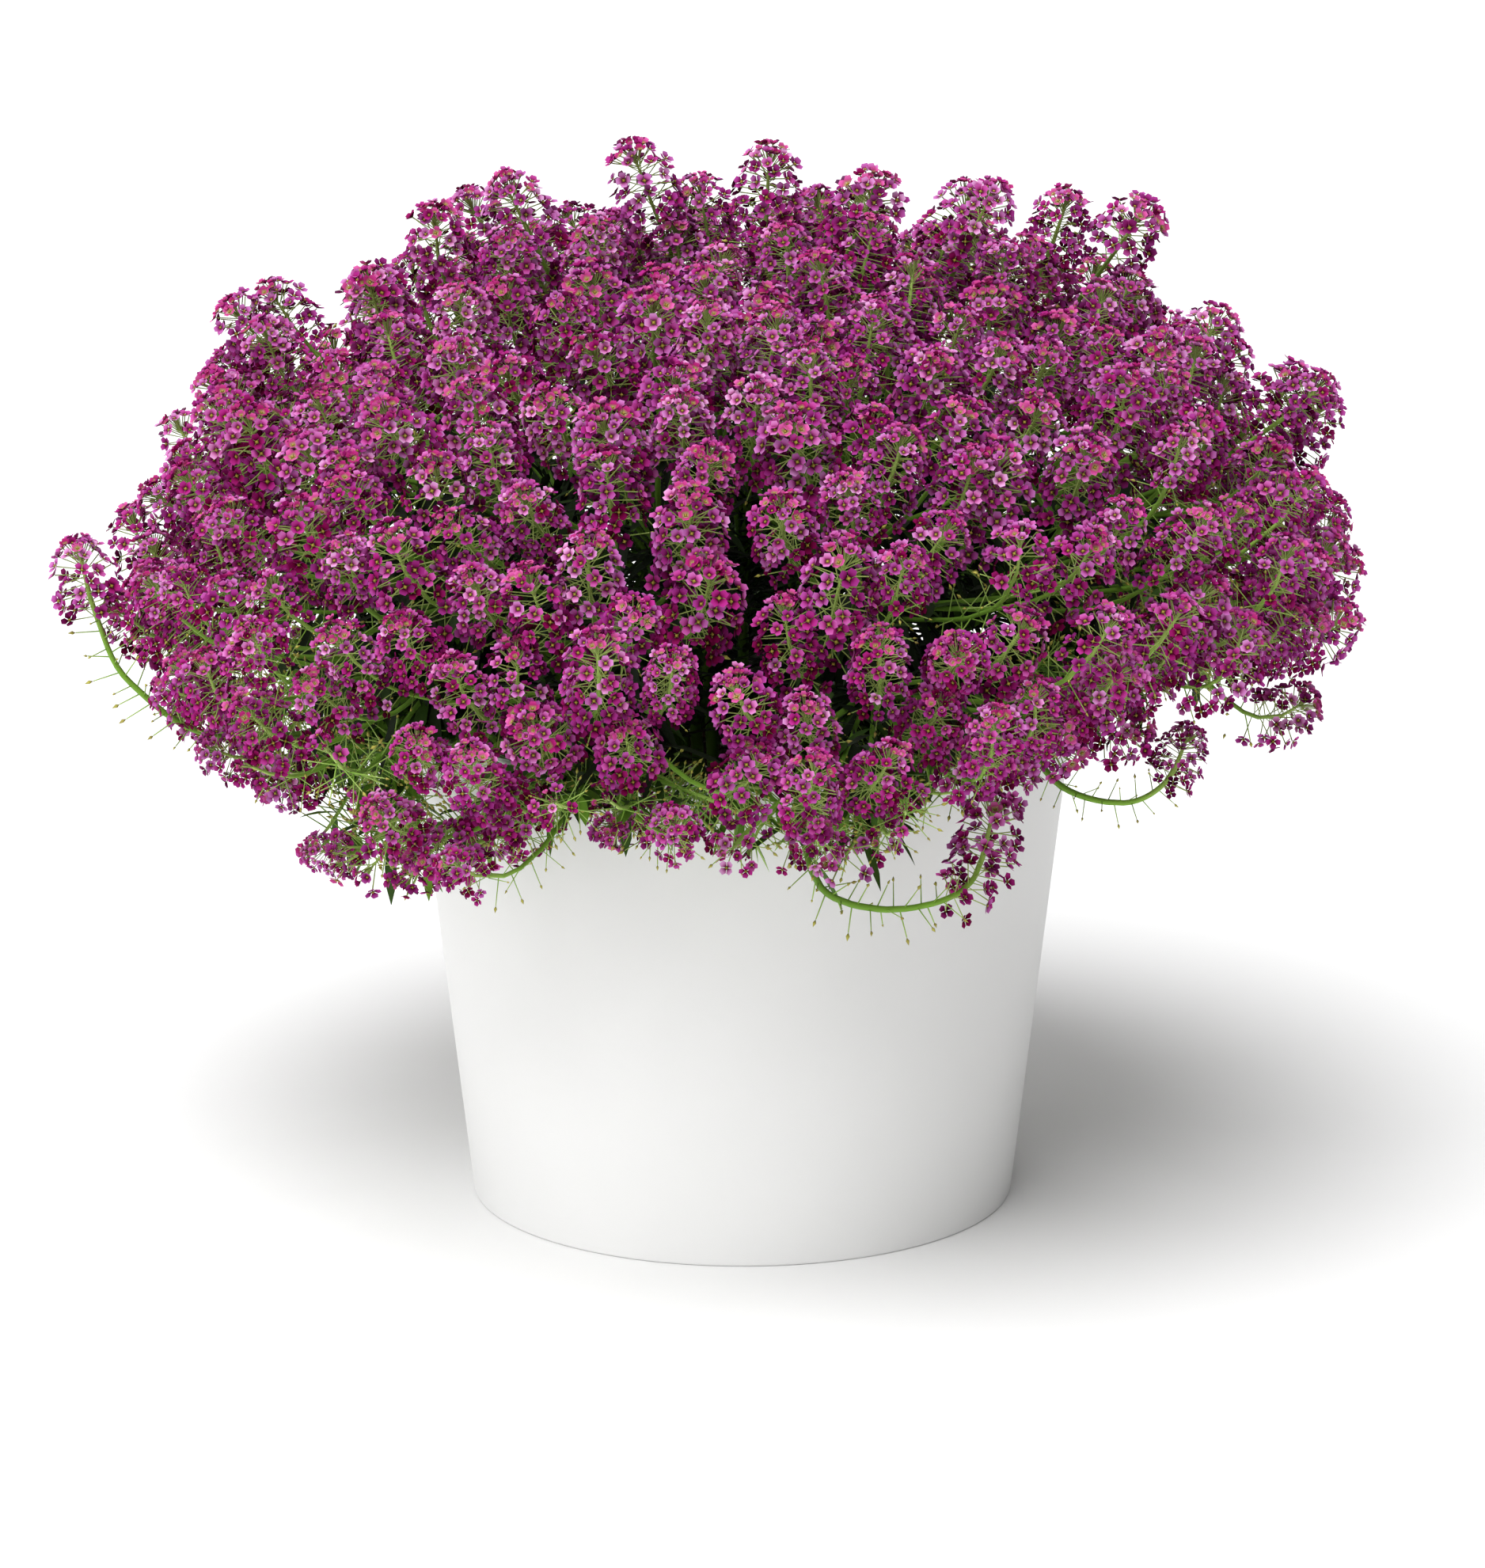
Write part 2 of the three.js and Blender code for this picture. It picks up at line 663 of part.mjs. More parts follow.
// The mix's sides run parallel to the pot's inside, a clearance away from it.
function buildSoil(holes) {
  const slope = (POT_RIM_RADIUS - POT_BASE_RADIUS) / POT_HEIGHT;
  const inside = (height) => POT_BASE_RADIUS - POT_WALL + slope * (height - POT_FLOOR) - 2 * CLEARANCE;
  const bottom = POT_FLOOR + CLEARANCE;
  const outline = [
    new THREE.Vector2(0, bottom),
    new THREE.Vector2(inside(bottom), bottom),
    new THREE.Vector2(inside(SOIL_TOP), SOIL_TOP),
    new THREE.Vector2(0, SOIL_TOP),
  ];
  let soil = solidFromGeometry(new THREE.LatheGeometry(outline, POT_SIDES).rotateX(Math.PI / 2));
  const reach = (TRUNK_RADIUS + CLEARANCE) / Math.cos(Math.PI / HOLE_SIDES);
  holes.forEach((hole) => {
    const drill = new THREE.CylinderGeometry(reach, reach, 2 * HOLE_DEPTH, HOLE_SIDES);
    drill.rotateX(Math.PI / 2).rotateZ(hole.turn).translate(...polar(hole.radius, hole.turn, SOIL_TOP));
    soil = soil.subtract(solidFromGeometry(drill));
  });
  return soil;
}

const plant = new THREE.Group();
const draw = makeDraw(PLANT_SEED);
const rings = SPRAY_RINGS.map((ring) => ({ ring, sprays: placeHeads(ring, draw) }));
const allHeads = rings.flatMap(({ sprays }) => sprays.flat());
liftSkyline(allHeads);
easeApart(allHeads);
setBases(allHeads);

function nodeName(name, index) {
  return `${name}_${String(index + 1).padStart(2, '0')}`;
}

const holes = [];
rings.forEach(({ ring, sprays }) => {
  sprays.forEach((heads, index) => {
    const hole = { radius: ring.hole, turn: FRONT + ((index + 0.5) * TURN) / ring.sprays };
    holes.push(hole);
    const name = nodeName(`${ring.name}_spray`, index);
    plant.add(meshFromSolid(buildSpray(ring, hole, heads), name, PETAL_FINISH));
  });
});

TRAILING.forEach((trail) => {
  const hole = { radius: TRAILING_HOLE, turn: THREE.MathUtils.degToRad(trail.leaves) };
  holes.push(hole);
  plant.add(meshFromSolid(buildTrailing(trail, hole, draw), `trailing_${trail.name}`, PETAL_FINISH));
});

for (let i = 0; i < LEAFY_SHOOTS; i += 1) {
  const hole = { radius: LEAFY_HOLE, turn: FRONT + (i * TURN) / LEAFY_SHOOTS };
  holes.push(hole);
  plant.add(meshFromSolid(buildLeafyShoot(hole, draw), nodeName('leafy_shoot', i), LEAF_FINISH));
}

plant.add(meshFromSolid(buildPot(), 'pot', POT_FINISH));
plant.add(meshFromSolid(buildSoil(holes), 'soil', SOIL_FINISH));

export default plant;
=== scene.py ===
import math

import bpy
import numpy as np
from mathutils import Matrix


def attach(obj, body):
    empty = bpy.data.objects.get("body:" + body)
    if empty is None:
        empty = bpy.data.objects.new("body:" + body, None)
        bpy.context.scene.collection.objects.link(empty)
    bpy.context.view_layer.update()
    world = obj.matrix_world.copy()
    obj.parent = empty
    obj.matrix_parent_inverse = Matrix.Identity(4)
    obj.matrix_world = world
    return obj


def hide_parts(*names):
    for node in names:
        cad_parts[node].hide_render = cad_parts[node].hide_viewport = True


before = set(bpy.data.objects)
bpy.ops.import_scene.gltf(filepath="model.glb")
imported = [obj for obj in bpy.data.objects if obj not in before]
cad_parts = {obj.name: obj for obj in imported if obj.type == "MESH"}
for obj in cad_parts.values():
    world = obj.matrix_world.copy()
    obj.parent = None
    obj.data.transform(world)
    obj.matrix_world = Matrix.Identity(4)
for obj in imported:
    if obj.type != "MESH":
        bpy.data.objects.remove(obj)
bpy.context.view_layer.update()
MM = 0.001


# View and light. The photograph looks down on the pot by about 14 degrees, from its front. Light is a large
# soft source above and in front, in a pale room that is brighter on the left, over a plain pale floor.
ELEVATION = math.radians(14.5)
DISTANCE = 2.6
LOOK_AT_HEIGHT = 0.158
FRAME_HEIGHT = 0.594
SENSOR = 36
WINDOW_WAY = (-0.12, -0.5, 1.0)
WINDOW_SOFTNESS = math.radians(46)
FLOOR_REACH = 12


def linear(colour):
    """The linear red, green, blue and alpha of an sRGB hex colour."""
    parts = [int(colour[i:i + 2], 16) / 255 for i in (1, 3, 5)]
    return [p / 12.92 if p <= 0.04045 else ((p + 0.055) / 1.055) ** 2.4 for p in parts] + [1.0]


def add_node(tree, kind, settings=None, inputs=None, stops=None):
    """A new shader node with its settings, its inputs set or linked, and a ramp's stops of colour."""
    node = tree.nodes.new("ShaderNode" + kind)
    for name, value in (settings or {}).items():
        setattr(node, name, value)
    for name, value in (inputs or {}).items():
        if isinstance(value, bpy.types.NodeSocket):
            tree.links.new(value, node.inputs[name])
        else:
            node.inputs[name].default_value = value
    if stops:
        elements = node.color_ramp.elements
        for _ in stops[2:]:
            elements.new(1.0)
        for element, (place, colour) in zip(elements, stops):
            element.position = place
            element.color = linear(colour)
    return node


def new_material(name):
    """A material with its shader, ready for nodes."""
    material = bpy.data.materials.new(name)
    material.use_nodes = True
    return material, material.node_tree, material.node_tree.nodes["Principled BSDF"]


def new_object(name, data):
    """A new object of the scene."""
    made = bpy.data.objects.new(name, data)
    bpy.context.scene.collection.objects.link(made)
    return made


camera = new_object("camera", bpy.data.cameras.new("camera"))
camera.data.sensor_fit = "VERTICAL"
camera.data.sensor_height = SENSOR
camera.data.lens = SENSOR * DISTANCE / FRAME_HEIGHT
camera.data.clip_end = 50
camera.location = (0, -DISTANCE * math.cos(ELEVATION), LOOK_AT_HEIGHT + DISTANCE * math.sin(ELEVATION))
camera.rotation_euler = (math.pi / 2 - ELEVATION, 0, 0)
bpy.context.scene.camera = camera
bpy.context.scene.view_settings.view_transform = "Standard"

window = new_object("window_light", bpy.data.lights.new("window_light", "SUN"))
window.data.energy = 3.0
window.data.angle = WINDOW_SOFTNESS
x, y, z = WINDOW_WAY
window.rotation_euler = (math.atan2(math.hypot(x, y), z), 0, math.atan2(x, -y))

world = bpy.data.worlds.new("room")
world.use_nodes = True
tree = world.node_tree
way = add_node(tree, "TexCoord").outputs["Generated"]
sides = add_node(tree, "SeparateXYZ", inputs={"Vector": way})
fall = {"Value": sides.outputs["X"], "From Min": -0.7, "From Max": 0.7, "To Min": 0.95, "To Max": 0.06}
glow = add_node(tree, "MapRange", {"interpolation_type": "SMOOTHSTEP"}, fall)
room = tree.nodes["Background"]
room.inputs["Color"].default_value = linear("#FFFFFF")
tree.links.new(glow.outputs["Result"], room.inputs["Strength"])
bpy.context.scene.world = world

floor_mesh = bpy.data.meshes.new("floor")
floor_corners = [(x * FLOOR_REACH, y * FLOOR_REACH, 0) for x, y in ((-1, -1), (1, -1), (1, 1), (-1, 1))]
floor_mesh.from_pydata(floor_corners, [], [(0, 1, 2, 3)])
floor = new_object("floor", floor_mesh)
painted_floor, _, shader = new_material("matt_white_floor")
shader.inputs["Base Color"].default_value = linear("#F6F6F6")
shader.inputs["Roughness"].default_value = 0.9
floor_mesh.materials.append(painted_floor)


# Pot. A growers' pot, injection moulded in white polypropylene in one piece. Its thin wall tapers straight
# down to a flat base, with small drainage holes and softly rounded edges left by the mould.
POT_HEIGHT = 190 * MM
POT_BASE_RADIUS = 103 * MM
POT_RIM_RADIUS = 125 * MM
POT_WALL = 3 * MM
POT_FLOOR = 4 * MM
POT_EDGE = 1.2 * MM
POT_TURNS = 160
DRAIN_HOLES = 6
DRAIN_RADIUS = 6 * MM
DRAIN_CIRCLE_RADIUS = 66 * MM
TURN = 2 * math.pi
NEAR_AXIS = 0.2 * MM
DRILL_REACH = 10 * MM
DRILL_TURNS = 24


def build_piece(name, points, faces, materials, paint=None, slots=None, smooth=True):
    """A mesh object from arrays of points and triangles. paint holds a tint and a place for each point."""
    mesh = bpy.data.meshes.new(name)
    mesh.vertices.add(len(points))
    mesh.vertices.foreach_set("co", np.asarray(points, np.float32).ravel())
    mesh.loops.add(3 * len(faces))
    mesh.loops.foreach_set("vertex_index", np.asarray(faces, np.int32).ravel())
    mesh.polygons.add(len(faces))
    mesh.polygons.foreach_set("loop_start", np.arange(0, 3 * len(faces), 3, dtype=np.int32))
    mesh.polygons.foreach_set("use_smooth", np.full(len(faces), smooth))
    for material in materials:
        mesh.materials.append(material)
    if slots is not None:
        mesh.polygons.foreach_set("material_index", np.asarray(slots, np.int32))
    if paint is not None:
        layer = mesh.uv_layers.new(name="OFBake")
        layer.data.foreach_set("uv", np.asarray(paint, np.float32)[np.asarray(faces).ravel()].ravel())
    mesh.update(calc_edges=True)
    mesh.validate()
    return new_object(name, mesh)


def ring_faces(count, rings, sides):
    """Triangles between the neighbouring rings of count tubes, whose points follow ring by ring."""
    tube, ring, step = np.meshgrid(np.arange(count), np.arange(rings - 1), np.arange(sides), indexing="ij")
    here = (tube * rings + ring) * sides + step
    beside = (tube * rings + ring) * sides + (step + 1) % sides
    lower = np.stack([here, beside, beside + sides], -1)
    upper = np.stack([here, beside + sides, here + sides], -1)
    return np.concatenate([lower.reshape(-1, 3), upper.reshape(-1, 3)])


def lathe(outline, turns):
    """Points and triangles of an outline of radius and height turned about the pot's axis."""
    radius, height = np.asarray(outline).T[..., None]
    angles = np.arange(turns) * TURN / turns
    points = np.stack([radius * np.cos(angles), radius * np.sin(angles), height + 0 * angles], -1)
    return points.reshape(-1, 3), ring_faces(1, len(outline), turns)


def rounded(corner, before, after, radius, steps=4):
    """Points of an arc that rounds an outline's corner."""
    start = corner + radius * (before - corner) / np.linalg.norm(before - corner)
    end = corner + radius * (after - corner) / np.linalg.norm(after - corner)
    shares = np.linspace(0, 1, steps + 1)[:, None]
    return (1 - shares) ** 2 * start + 2 * shares * (1 - shares) * corner + shares ** 2 * end


corners = np.array([
    (NEAR_AXIS, 0), (POT_BASE_RADIUS, 0), (POT_RIM_RADIUS, POT_HEIGHT),
    (POT_RIM_RADIUS - POT_WALL, POT_HEIGHT), (POT_BASE_RADIUS - POT_WALL, POT_FLOOR), (NEAR_AXIS, POT_FLOOR),
])
pot_outline = [corners[0]]
for before, corner, after in zip(corners, corners[1:], corners[2:]):
    pot_outline.extend(rounded(corner, before, after, POT_EDGE))
pot_outline += [corners[-1], corners[0]]
pot_points, pot_faces = lathe(pot_outline, POT_TURNS)

# Moulded polypropylene: an even white with a soft sheen, and the faint grain of the mould, under 1 mm wide.
moulded_white, tree, shader = new_material("moulded_polypropylene")
spot = add_node(tree, "TexCoord").outputs["Object"]
clouds = add_node(tree, "TexNoise", inputs={"Vector": spot, "Scale": 14.0, "Detail": 2.0})
whites = {"Factor": clouds.outputs["Fac"], "A": linear("#EDEDEC"), "B": linear("#F4F4F3")}
shade = add_node(tree, "Mix", {"data_type": "RGBA"}, whites)
grain = add_node(tree, "TexNoise", inputs={"Vector": spot, "Scale": 1200.0, "Detail": 1.0})
relief = {"Strength": 0.06, "Distance": 0.2 * MM, "Height": grain.outputs["Fac"]}
bump = add_node(tree, "Bump", inputs=relief)
tree.links.new(shade.outputs["Result"], shader.inputs["Base Color"])
tree.links.new(bump.outputs["Normal"], shader.inputs["Normal"])
shader.inputs["Roughness"].default_value = 0.42
shader.inputs["IOR"].default_value = 1.49

pot = build_piece("white_pot", pot_points, pot_faces, [moulded_white])
bit_outline = [(DRAIN_RADIUS, -DRILL_REACH), (DRAIN_RADIUS, DRILL_REACH)]
bit, bit_faces = lathe([(MM / 100, -DRILL_REACH), *bit_outline, (MM / 100, DRILL_REACH)], DRILL_TURNS)
turns = np.arange(DRAIN_HOLES) * TURN / DRAIN_HOLES
spots = DRAIN_CIRCLE_RADIUS * np.stack([np.cos(turns), np.sin(turns), 0 * turns], -1)
drill_points = (bit + spots[:, None]).reshape(-1, 3)
drill_faces = (bit_faces + len(bit) * np.arange(DRAIN_HOLES)[:, None, None]).reshape(-1, 3)
drill = build_piece("drill", drill_points, drill_faces, [moulded_white])
cut = pot.modifiers.new("drain_holes", "BOOLEAN")
cut.operation = "DIFFERENCE"
cut.solver = "FAST"
cut.object = drill
drilled = bpy.data.meshes.new_from_object(pot.evaluated_get(bpy.context.evaluated_depsgraph_get()))
pot.modifiers.clear()
pot.data = drilled
pot.data.name = "white_pot"
bpy.data.objects.remove(drill)
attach(pot, "root")
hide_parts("pot")


# Growing mix. Peat and composted bark, filled to a little below the rim and settled by watering, with white
# grains of perlite and chips of bark on top. Every stem stands in it.
SOIL_TOP = 170 * MM
SOIL_GAP = 0.6 * MM
SOIL_RINGS = 26
SOIL_TURNS = 96
SOIL_LIFT = 0.3 * MM
CHIPS = 520
CHIP_LENGTHS = (1.2 * MM, 4.2 * MM)
PERLITE_SHARE = 0.22

wall_slope = (POT_RIM_RADIUS - POT_BASE_RADIUS) / POT_HEIGHT
soil_radius = POT_BASE_RADIUS - POT_WALL + wall_slope * (SOIL_TOP - POT_FLOOR) - SOIL_GAP
soil_draw = np.random.default_rng(17)

foot_radius = POT_BASE_RADIUS - POT_WALL - SOIL_GAP
soil_outline = [(NEAR_AXIS, POT_FLOOR + SOIL_LIFT), (foot_radius, POT_FLOOR + SOIL_LIFT)]
rings_out = np.linspace(0.02, 1, SOIL_RINGS) * soil_radius
soil_outline += [(radius, SOIL_TOP) for radius in rings_out[::-1]]
soil_points, soil_faces = lathe(soil_outline, SOIL_TURNS)

# Its top is uneven by a millimetre or two, in waves and in crumbs.
on_top = soil_points[:, 2] > SOIL_TOP - MM
x, y = soil_points[on_top, 0], soil_points[on_top, 1]
waves = np.sin(190 * x + 2) * np.cos(170 * y) + np.sin(430 * x - 310 * y)
soil_points[on_top, 2] += 1.2 * MM * waves
soil_points[on_top, 2] += soil_draw.uniform(-0.7 * MM, 0.7 * MM, on_top.sum()) - 1.6 * MM

# Chips and grains are flattened eight-sided lumps that lie on it at all angles.
chip = np.array([[1, 0, 0], [-1, 0, 0], [0, 0.6, 0], [0, -0.6, 0], [0, 0, 0.45], [0, 0, -0.45]])
chip_faces = np.array(
    [[0, 2, 4], [2, 1, 4], [1, 3, 4], [3, 0, 4], [2, 0, 5], [1, 2, 5], [3, 1, 5], [0, 3, 5]]
)
reach = soil_radius * 0.95 * np.sqrt(soil_draw.uniform(0, 1, CHIPS))
bearing = soil_draw.uniform(0, TURN, CHIPS)
length = soil_draw.uniform(*CHIP_LENGTHS, CHIPS)
spin = soil_draw.uniform(0, TURN, CHIPS)[:, None]
x, y, z = (chip * length[:, None, None]).transpose(2, 0, 1)
cos, sin = np.cos(spin), np.sin(spin)
spots = np.stack([reach * np.cos(bearing), reach * np.sin(bearing), np.full(CHIPS, SOIL_TOP - MM)], -1)
chips = np.stack([x * cos - y * sin, x * sin + y * cos, z], -1) + spots[:, None]
chip_starts = len(soil_points) + 6 * np.arange(CHIPS)[:, None, None]
all_faces = np.concatenate([soil_faces, (chip_faces + chip_starts).reshape(-1, 3)])
is_perlite = np.repeat(soil_draw.uniform(0, 1, CHIPS) < PERLITE_SHARE, len(chip_faces))
soil_slots = np.concatenate([np.zeros(len(soil_faces), int), 1 + is_perlite])

# Damp peat is dark brown and dull, in crumbs of 2 to 4 mm. Composted bark comes as red-brown, fibrous chips,
# and perlite, blown volcanic glass, as dusty white grains. Each has its noise's scale and detail, its two
# colours and its roughness.
MIX_FINISHES = {
    "damp_peat": (380.0, 4.0, "#1B120C", "#4A382A", 0.95),
    "composted_bark": (900.0, 3.0, "#3A2416", "#7A5436", 0.85),
    "perlite_grains": (700.0, 3.0, "#B4AC9C", "#EEECE6", 0.8),
}
mix_materials = []
for name, (scale, detail, dark, light, roughness) in MIX_FINISHES.items():
    material, tree, shader = new_material(name)
    spot = add_node(tree, "TexCoord").outputs["Object"]
    crumbs = add_node(tree, "TexNoise", inputs={"Vector": spot, "Scale": scale, "Detail": detail})
    tones = {"Factor": crumbs.outputs["Fac"], "A": linear(dark), "B": linear(light)}
    tone = add_node(tree, "Mix", {"data_type": "RGBA"}, tones)
    tree.links.new(tone.outputs["Result"], shader.inputs["Base Color"])
    shader.inputs["Roughness"].default_value = roughness
    if name == "damp_peat":
        relief = {"Strength": 0.9, "Distance": 2 * MM, "Height": crumbs.outputs["Fac"]}
        bump = add_node(tree, "Bump", inputs=relief)
        tree.links.new(bump.outputs["Normal"], shader.inputs["Normal"])
    mix_materials.append(material)

all_points = np.concatenate([soil_points, chips.reshape(-1, 3)])
soil = build_piece("growing_mix", all_points, all_faces, mix_materials, slots=soil_slots, smooth=False)
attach(soil, "root")
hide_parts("soil")


# Flowering sprays. Each is a branching stem that stands in the mix and opens out to the mound's surface,
# where every side stem ends in one flower head. The mound is a flattened dome, fuller at the sides than any
# single spray, and its skirt turns in under the widest ring.
MOUND_RADIUS = 238
MOUND_MIDDLE = 222
MOUND_RISE = 163
MOUND_DROP = 78
MOUND_ROUNDNESS = 2.35
MOUND_END_ANGLE = 2.45
MOUND_STEPS = 900
FRONT_LIFT = 0.15
ROW_ARCH = 11
# Each ring of sprays: their number, the radius of their holes, where their trunks bend outwards (radius and
# height), their heads' size, and rows of heads (run from the crown, heads, shift and width in the sector).
SPRAY_RINGS = {
    "crown": (1, 0, (2, 270), 1, [(0, 1, 0, 1), (36, 6, 0, 1)]),
    "top": (6, 22, (32, 270), 1, [(73, 2, -0.2, 1), (110, 3, 0.2, 1)]),
    "shoulder": (8, 42, (58, 270), 1, [(147, 3, -0.2, 1), (184, 4, 0.2, 1)]),
    "flank": (9, 63, (88, 262), 1, [(220, 4, -0.2, 1), (256, 4, 0.25, 1)]),
    "side": (9, 84, (112, 248), 0.93, [(290, 5, -0.2, 1), (324, 5, 0.2, 1)]),
    "skirt": (9, 103, (128, 236), 0.84, [(364, 4, 0, 1), (400, 2, 0, 0.6)]),
}
# Where the photograph shows the heads of its skyline: across and up.
SKYLINE = [
    (-42, 402), (10, 404), (-88, 390), (-114, 381), (50, 393), (90, 391), (123, 388), (150, 380),
    (-139, 360), (-180, 351), (-197, 325), (-214, 300), (-238, 268), (178, 344), (209, 326), (225, 308),
]
SKYLINE_DEPTH_SHARE = 0.35
HEAD_LENGTH = 35
HEAD_LEAN = 0.62
HEAD_SPACING = 31
EASE_PASSES = 12
MOUTH_HEIGHT = 172
FOOT_HEIGHT = 152.3
FRONT = -math.pi / 2
PLANT_SEED = 2071
# Trailing stems: the turn in degrees at which each leaves the pot, its route, its tip and its kind of head.
TRAILING = {
    "front_loop": (
        -80, [(21, -152, 184), (28, -166, 163), (48, -169, 156), (70, -163, 157), (83, -155, 164)],
        (91, -150, 192), "long",
    ),
    "right_loop": (-40, [(116, -104, 184), (138, -112, 180), (153, -114, 188)], (163, -113, 209), "ball"),
    "left_tip": (-153, [(-190, -53, 189), (-226, -50, 209), (-238, -51, 234)], (-245, -51, 263), "ball"),
    "left_low": (-140, [(-122, -98, 176), (-140, -106, 160)], (-160, -112, 162), "ball"),
    "back_loop": (120, [(-76, 146, 182), (-92, 160, 166), (-118, 152, 172)], (-132, 147, 196), "ball"),
}
TRAILING_ROOM = 24
NEIGHBOUR_REACH = 2.2


def seeded_draws(seed):
    """Draws between two limits that come out the same every time."""
    state = seed

    def draw(low, high):
        nonlocal state
        state = (state * 16807) % 2147483647
        return low + (high - low) * (state / 2147483647)

    return draw


def polar(radius, turn, height):
    """The point at a height, and at a distance and a turn from the pot's axis."""
    return np.array([radius * math.cos(turn), radius * math.sin(turn), height])


mound = []
run = 0.0
for i in range(MOUND_STEPS + 1):
    angle = MOUND_END_ANGLE * i / MOUND_STEPS
    share = abs(math.cos(angle)) ** (2 / MOUND_ROUNDNESS)
    radius = MOUND_RADIUS * math.sin(angle) ** (2 / MOUND_ROUNDNESS)
    height = MOUND_MIDDLE + (-MOUND_DROP if angle > math.pi / 2 else MOUND_RISE) * share
    if mound:
        run += math.hypot(radius - mound[-1][0], height - mound[-1][1])
    mound.append((radius, height, run))


def mound_at(run, turn):
    """The mound's point at a distance from the crown along its surface, and the slope there."""
    i = next(k for k in range(1, len(mound)) if mound[k][2] > run)
    before, after = mound[i - 1], mound[i]
    part = (run - before[2]) / (after[2] - before[2])
    radius = before[0] + (after[0] - before[0]) * part
    height = before[1] + (after[1] - before[1]) * part
    if height < MOUND_MIDDLE:
        height += (MOUND_MIDDLE - height) * FRONT_LIFT * max(0.0, math.cos(turn - FRONT)) ** 2
    slope = math.atan2(before[1] - after[1], after[0] - before[0])
    return polar(max(radius, 0), turn, height), slope


def has_room(place):
    """Whether a head's middle keeps clear of the trailing stems."""
    marks = [mark for _, route, tip, _ in TRAILING.values() for mark in (*route, tip)]
    return all(np.linalg.norm(place - mark) >= TRAILING_ROOM for mark in marks)


def head_middle(head):
    return head["tip"] - head["axis"] * HEAD_LENGTH * head["size"] / 2


draw = seeded_draws(PLANT_SEED)
sprays = []
for ring, (ring_sprays, hole, bend, ring_size, rows) in SPRAY_RINGS.items():
    sector = TURN / ring_sprays
    for s in range(ring_sprays):
        heads = []
        for at, count, shift, bunch in rows:
            for k in range(count):
                even = (k + 0.5 + shift) / count + draw(-0.04, 0.04)
                turn = FRONT + (s + 0.5 + (even - 0.5) * bunch) * sector
                arch = ROW_ARCH * (0.5 - (2 * even - 1) ** 2)
                point, slope = mound_at(max(0, at - arch + draw(-2, 2)), turn)
                lean = HEAD_LEAN * slope + draw(-0.1, 0.1)
                axis = polar(math.sin(lean), turn, math.cos(lean))
                tip = point + axis * draw(-7, 3)
                size = ring_size * draw(0.94, 1.04)
                if has_room(tip - axis * HEAD_LENGTH / 2):
                    heads.append({"tip": tip, "axis": axis, "size": size, "lifted": False})
        name = f"{ring}_spray_{s + 1:02d}"
        turn = FRONT + (s + 0.5) * sector
        sprays.append({"name": name, "hole": hole, "turn": turn, "bend": bend, "heads": heads})

# The heads nearest to the skyline's are lifted to it. The others then ease apart until they have room.
all_heads = [head for spray in sprays for head in spray["heads"]]
for across, up in SKYLINE:
    free = [head for head in all_heads if not head["lifted"]]
    ways = np.array([head["tip"] - [across, 0, up] for head in free]) * [1, SKYLINE_DEPTH_SHARE, 1]
    nearest = free[int(np.argmin(np.linalg.norm(ways, axis=1)))]
    nearest["tip"][0], nearest["tip"][2] = across, up
    nearest["lifted"] = True

tips = np.array([head["tip"] for head in all_heads])
neighbours = [
    i + 1 + np.flatnonzero(np.linalg.norm(tips[i + 1:] - tips[i], axis=1) < NEIGHBOUR_REACH * HEAD_SPACING)
    for i in range(len(tips))
]
for _ in range(EASE_PASSES):
    for head, near in zip(all_heads, neighbours):
        for j in near:
            other = all_heads[j]
            away = head_middle(other) - head_middle(head)
            apart = np.linalg.norm(away)
            shortfall = HEAD_SPACING * (head["size"] + other["size"]) / 2 - apart
            if shortfall > 0:
                away *= shortfall / 2 / apart
                if not other["lifted"]:
                    other["tip"] = other["tip"] + away
                if not head["lifted"]:
                    head["tip"] = head["tip"] - away
for head in all_heads:
    head["base"] = head["tip"] - head["axis"] * HEAD_LENGTH * head["size"]


# A floret has four broad rounded petals round a small green-yellow eye. Rows give the way out, the way
# across, the height and the place of the colour, in millimetres. The florets of a head's dome are cupped,
# and the older ones under it are flat enough to do without the middle point.
PETAL_OUTLINE = [
    [0.25, 0.0, 0.05, 0.12], [1.6, 1.34, 0.3, 0.6], [2.95, 0.9, 0.3, 1.0],
    [2.95, -0.9, 0.3, 1.0], [1.6, -1.34, 0.3, 0.6],
]
PETALS = {
    "cupped": (
        np.array([*PETAL_OUTLINE, [1.8, 0.0, 0.1, 0.62]]),
        np.array([[5, 0, 4], [5, 4, 3], [5, 3, 2], [5, 2, 1], [5, 1, 0]]),
    ),
    "flat": (np.array(PETAL_OUTLINE), np.array([[0, 4, 3], [0, 3, 2], [0, 2, 1]])),
}
PETALS_PER_FLORET = 4
EYE_RADIUS = 0.8
EYE_SIDES = 4
EYE_HEIGHTS = (0.42, 1.0)
EYE_PLACE = 0.08
CURL = 0.3
FLORET_CUP = 0.3
YOUNG_CUP = 1.0


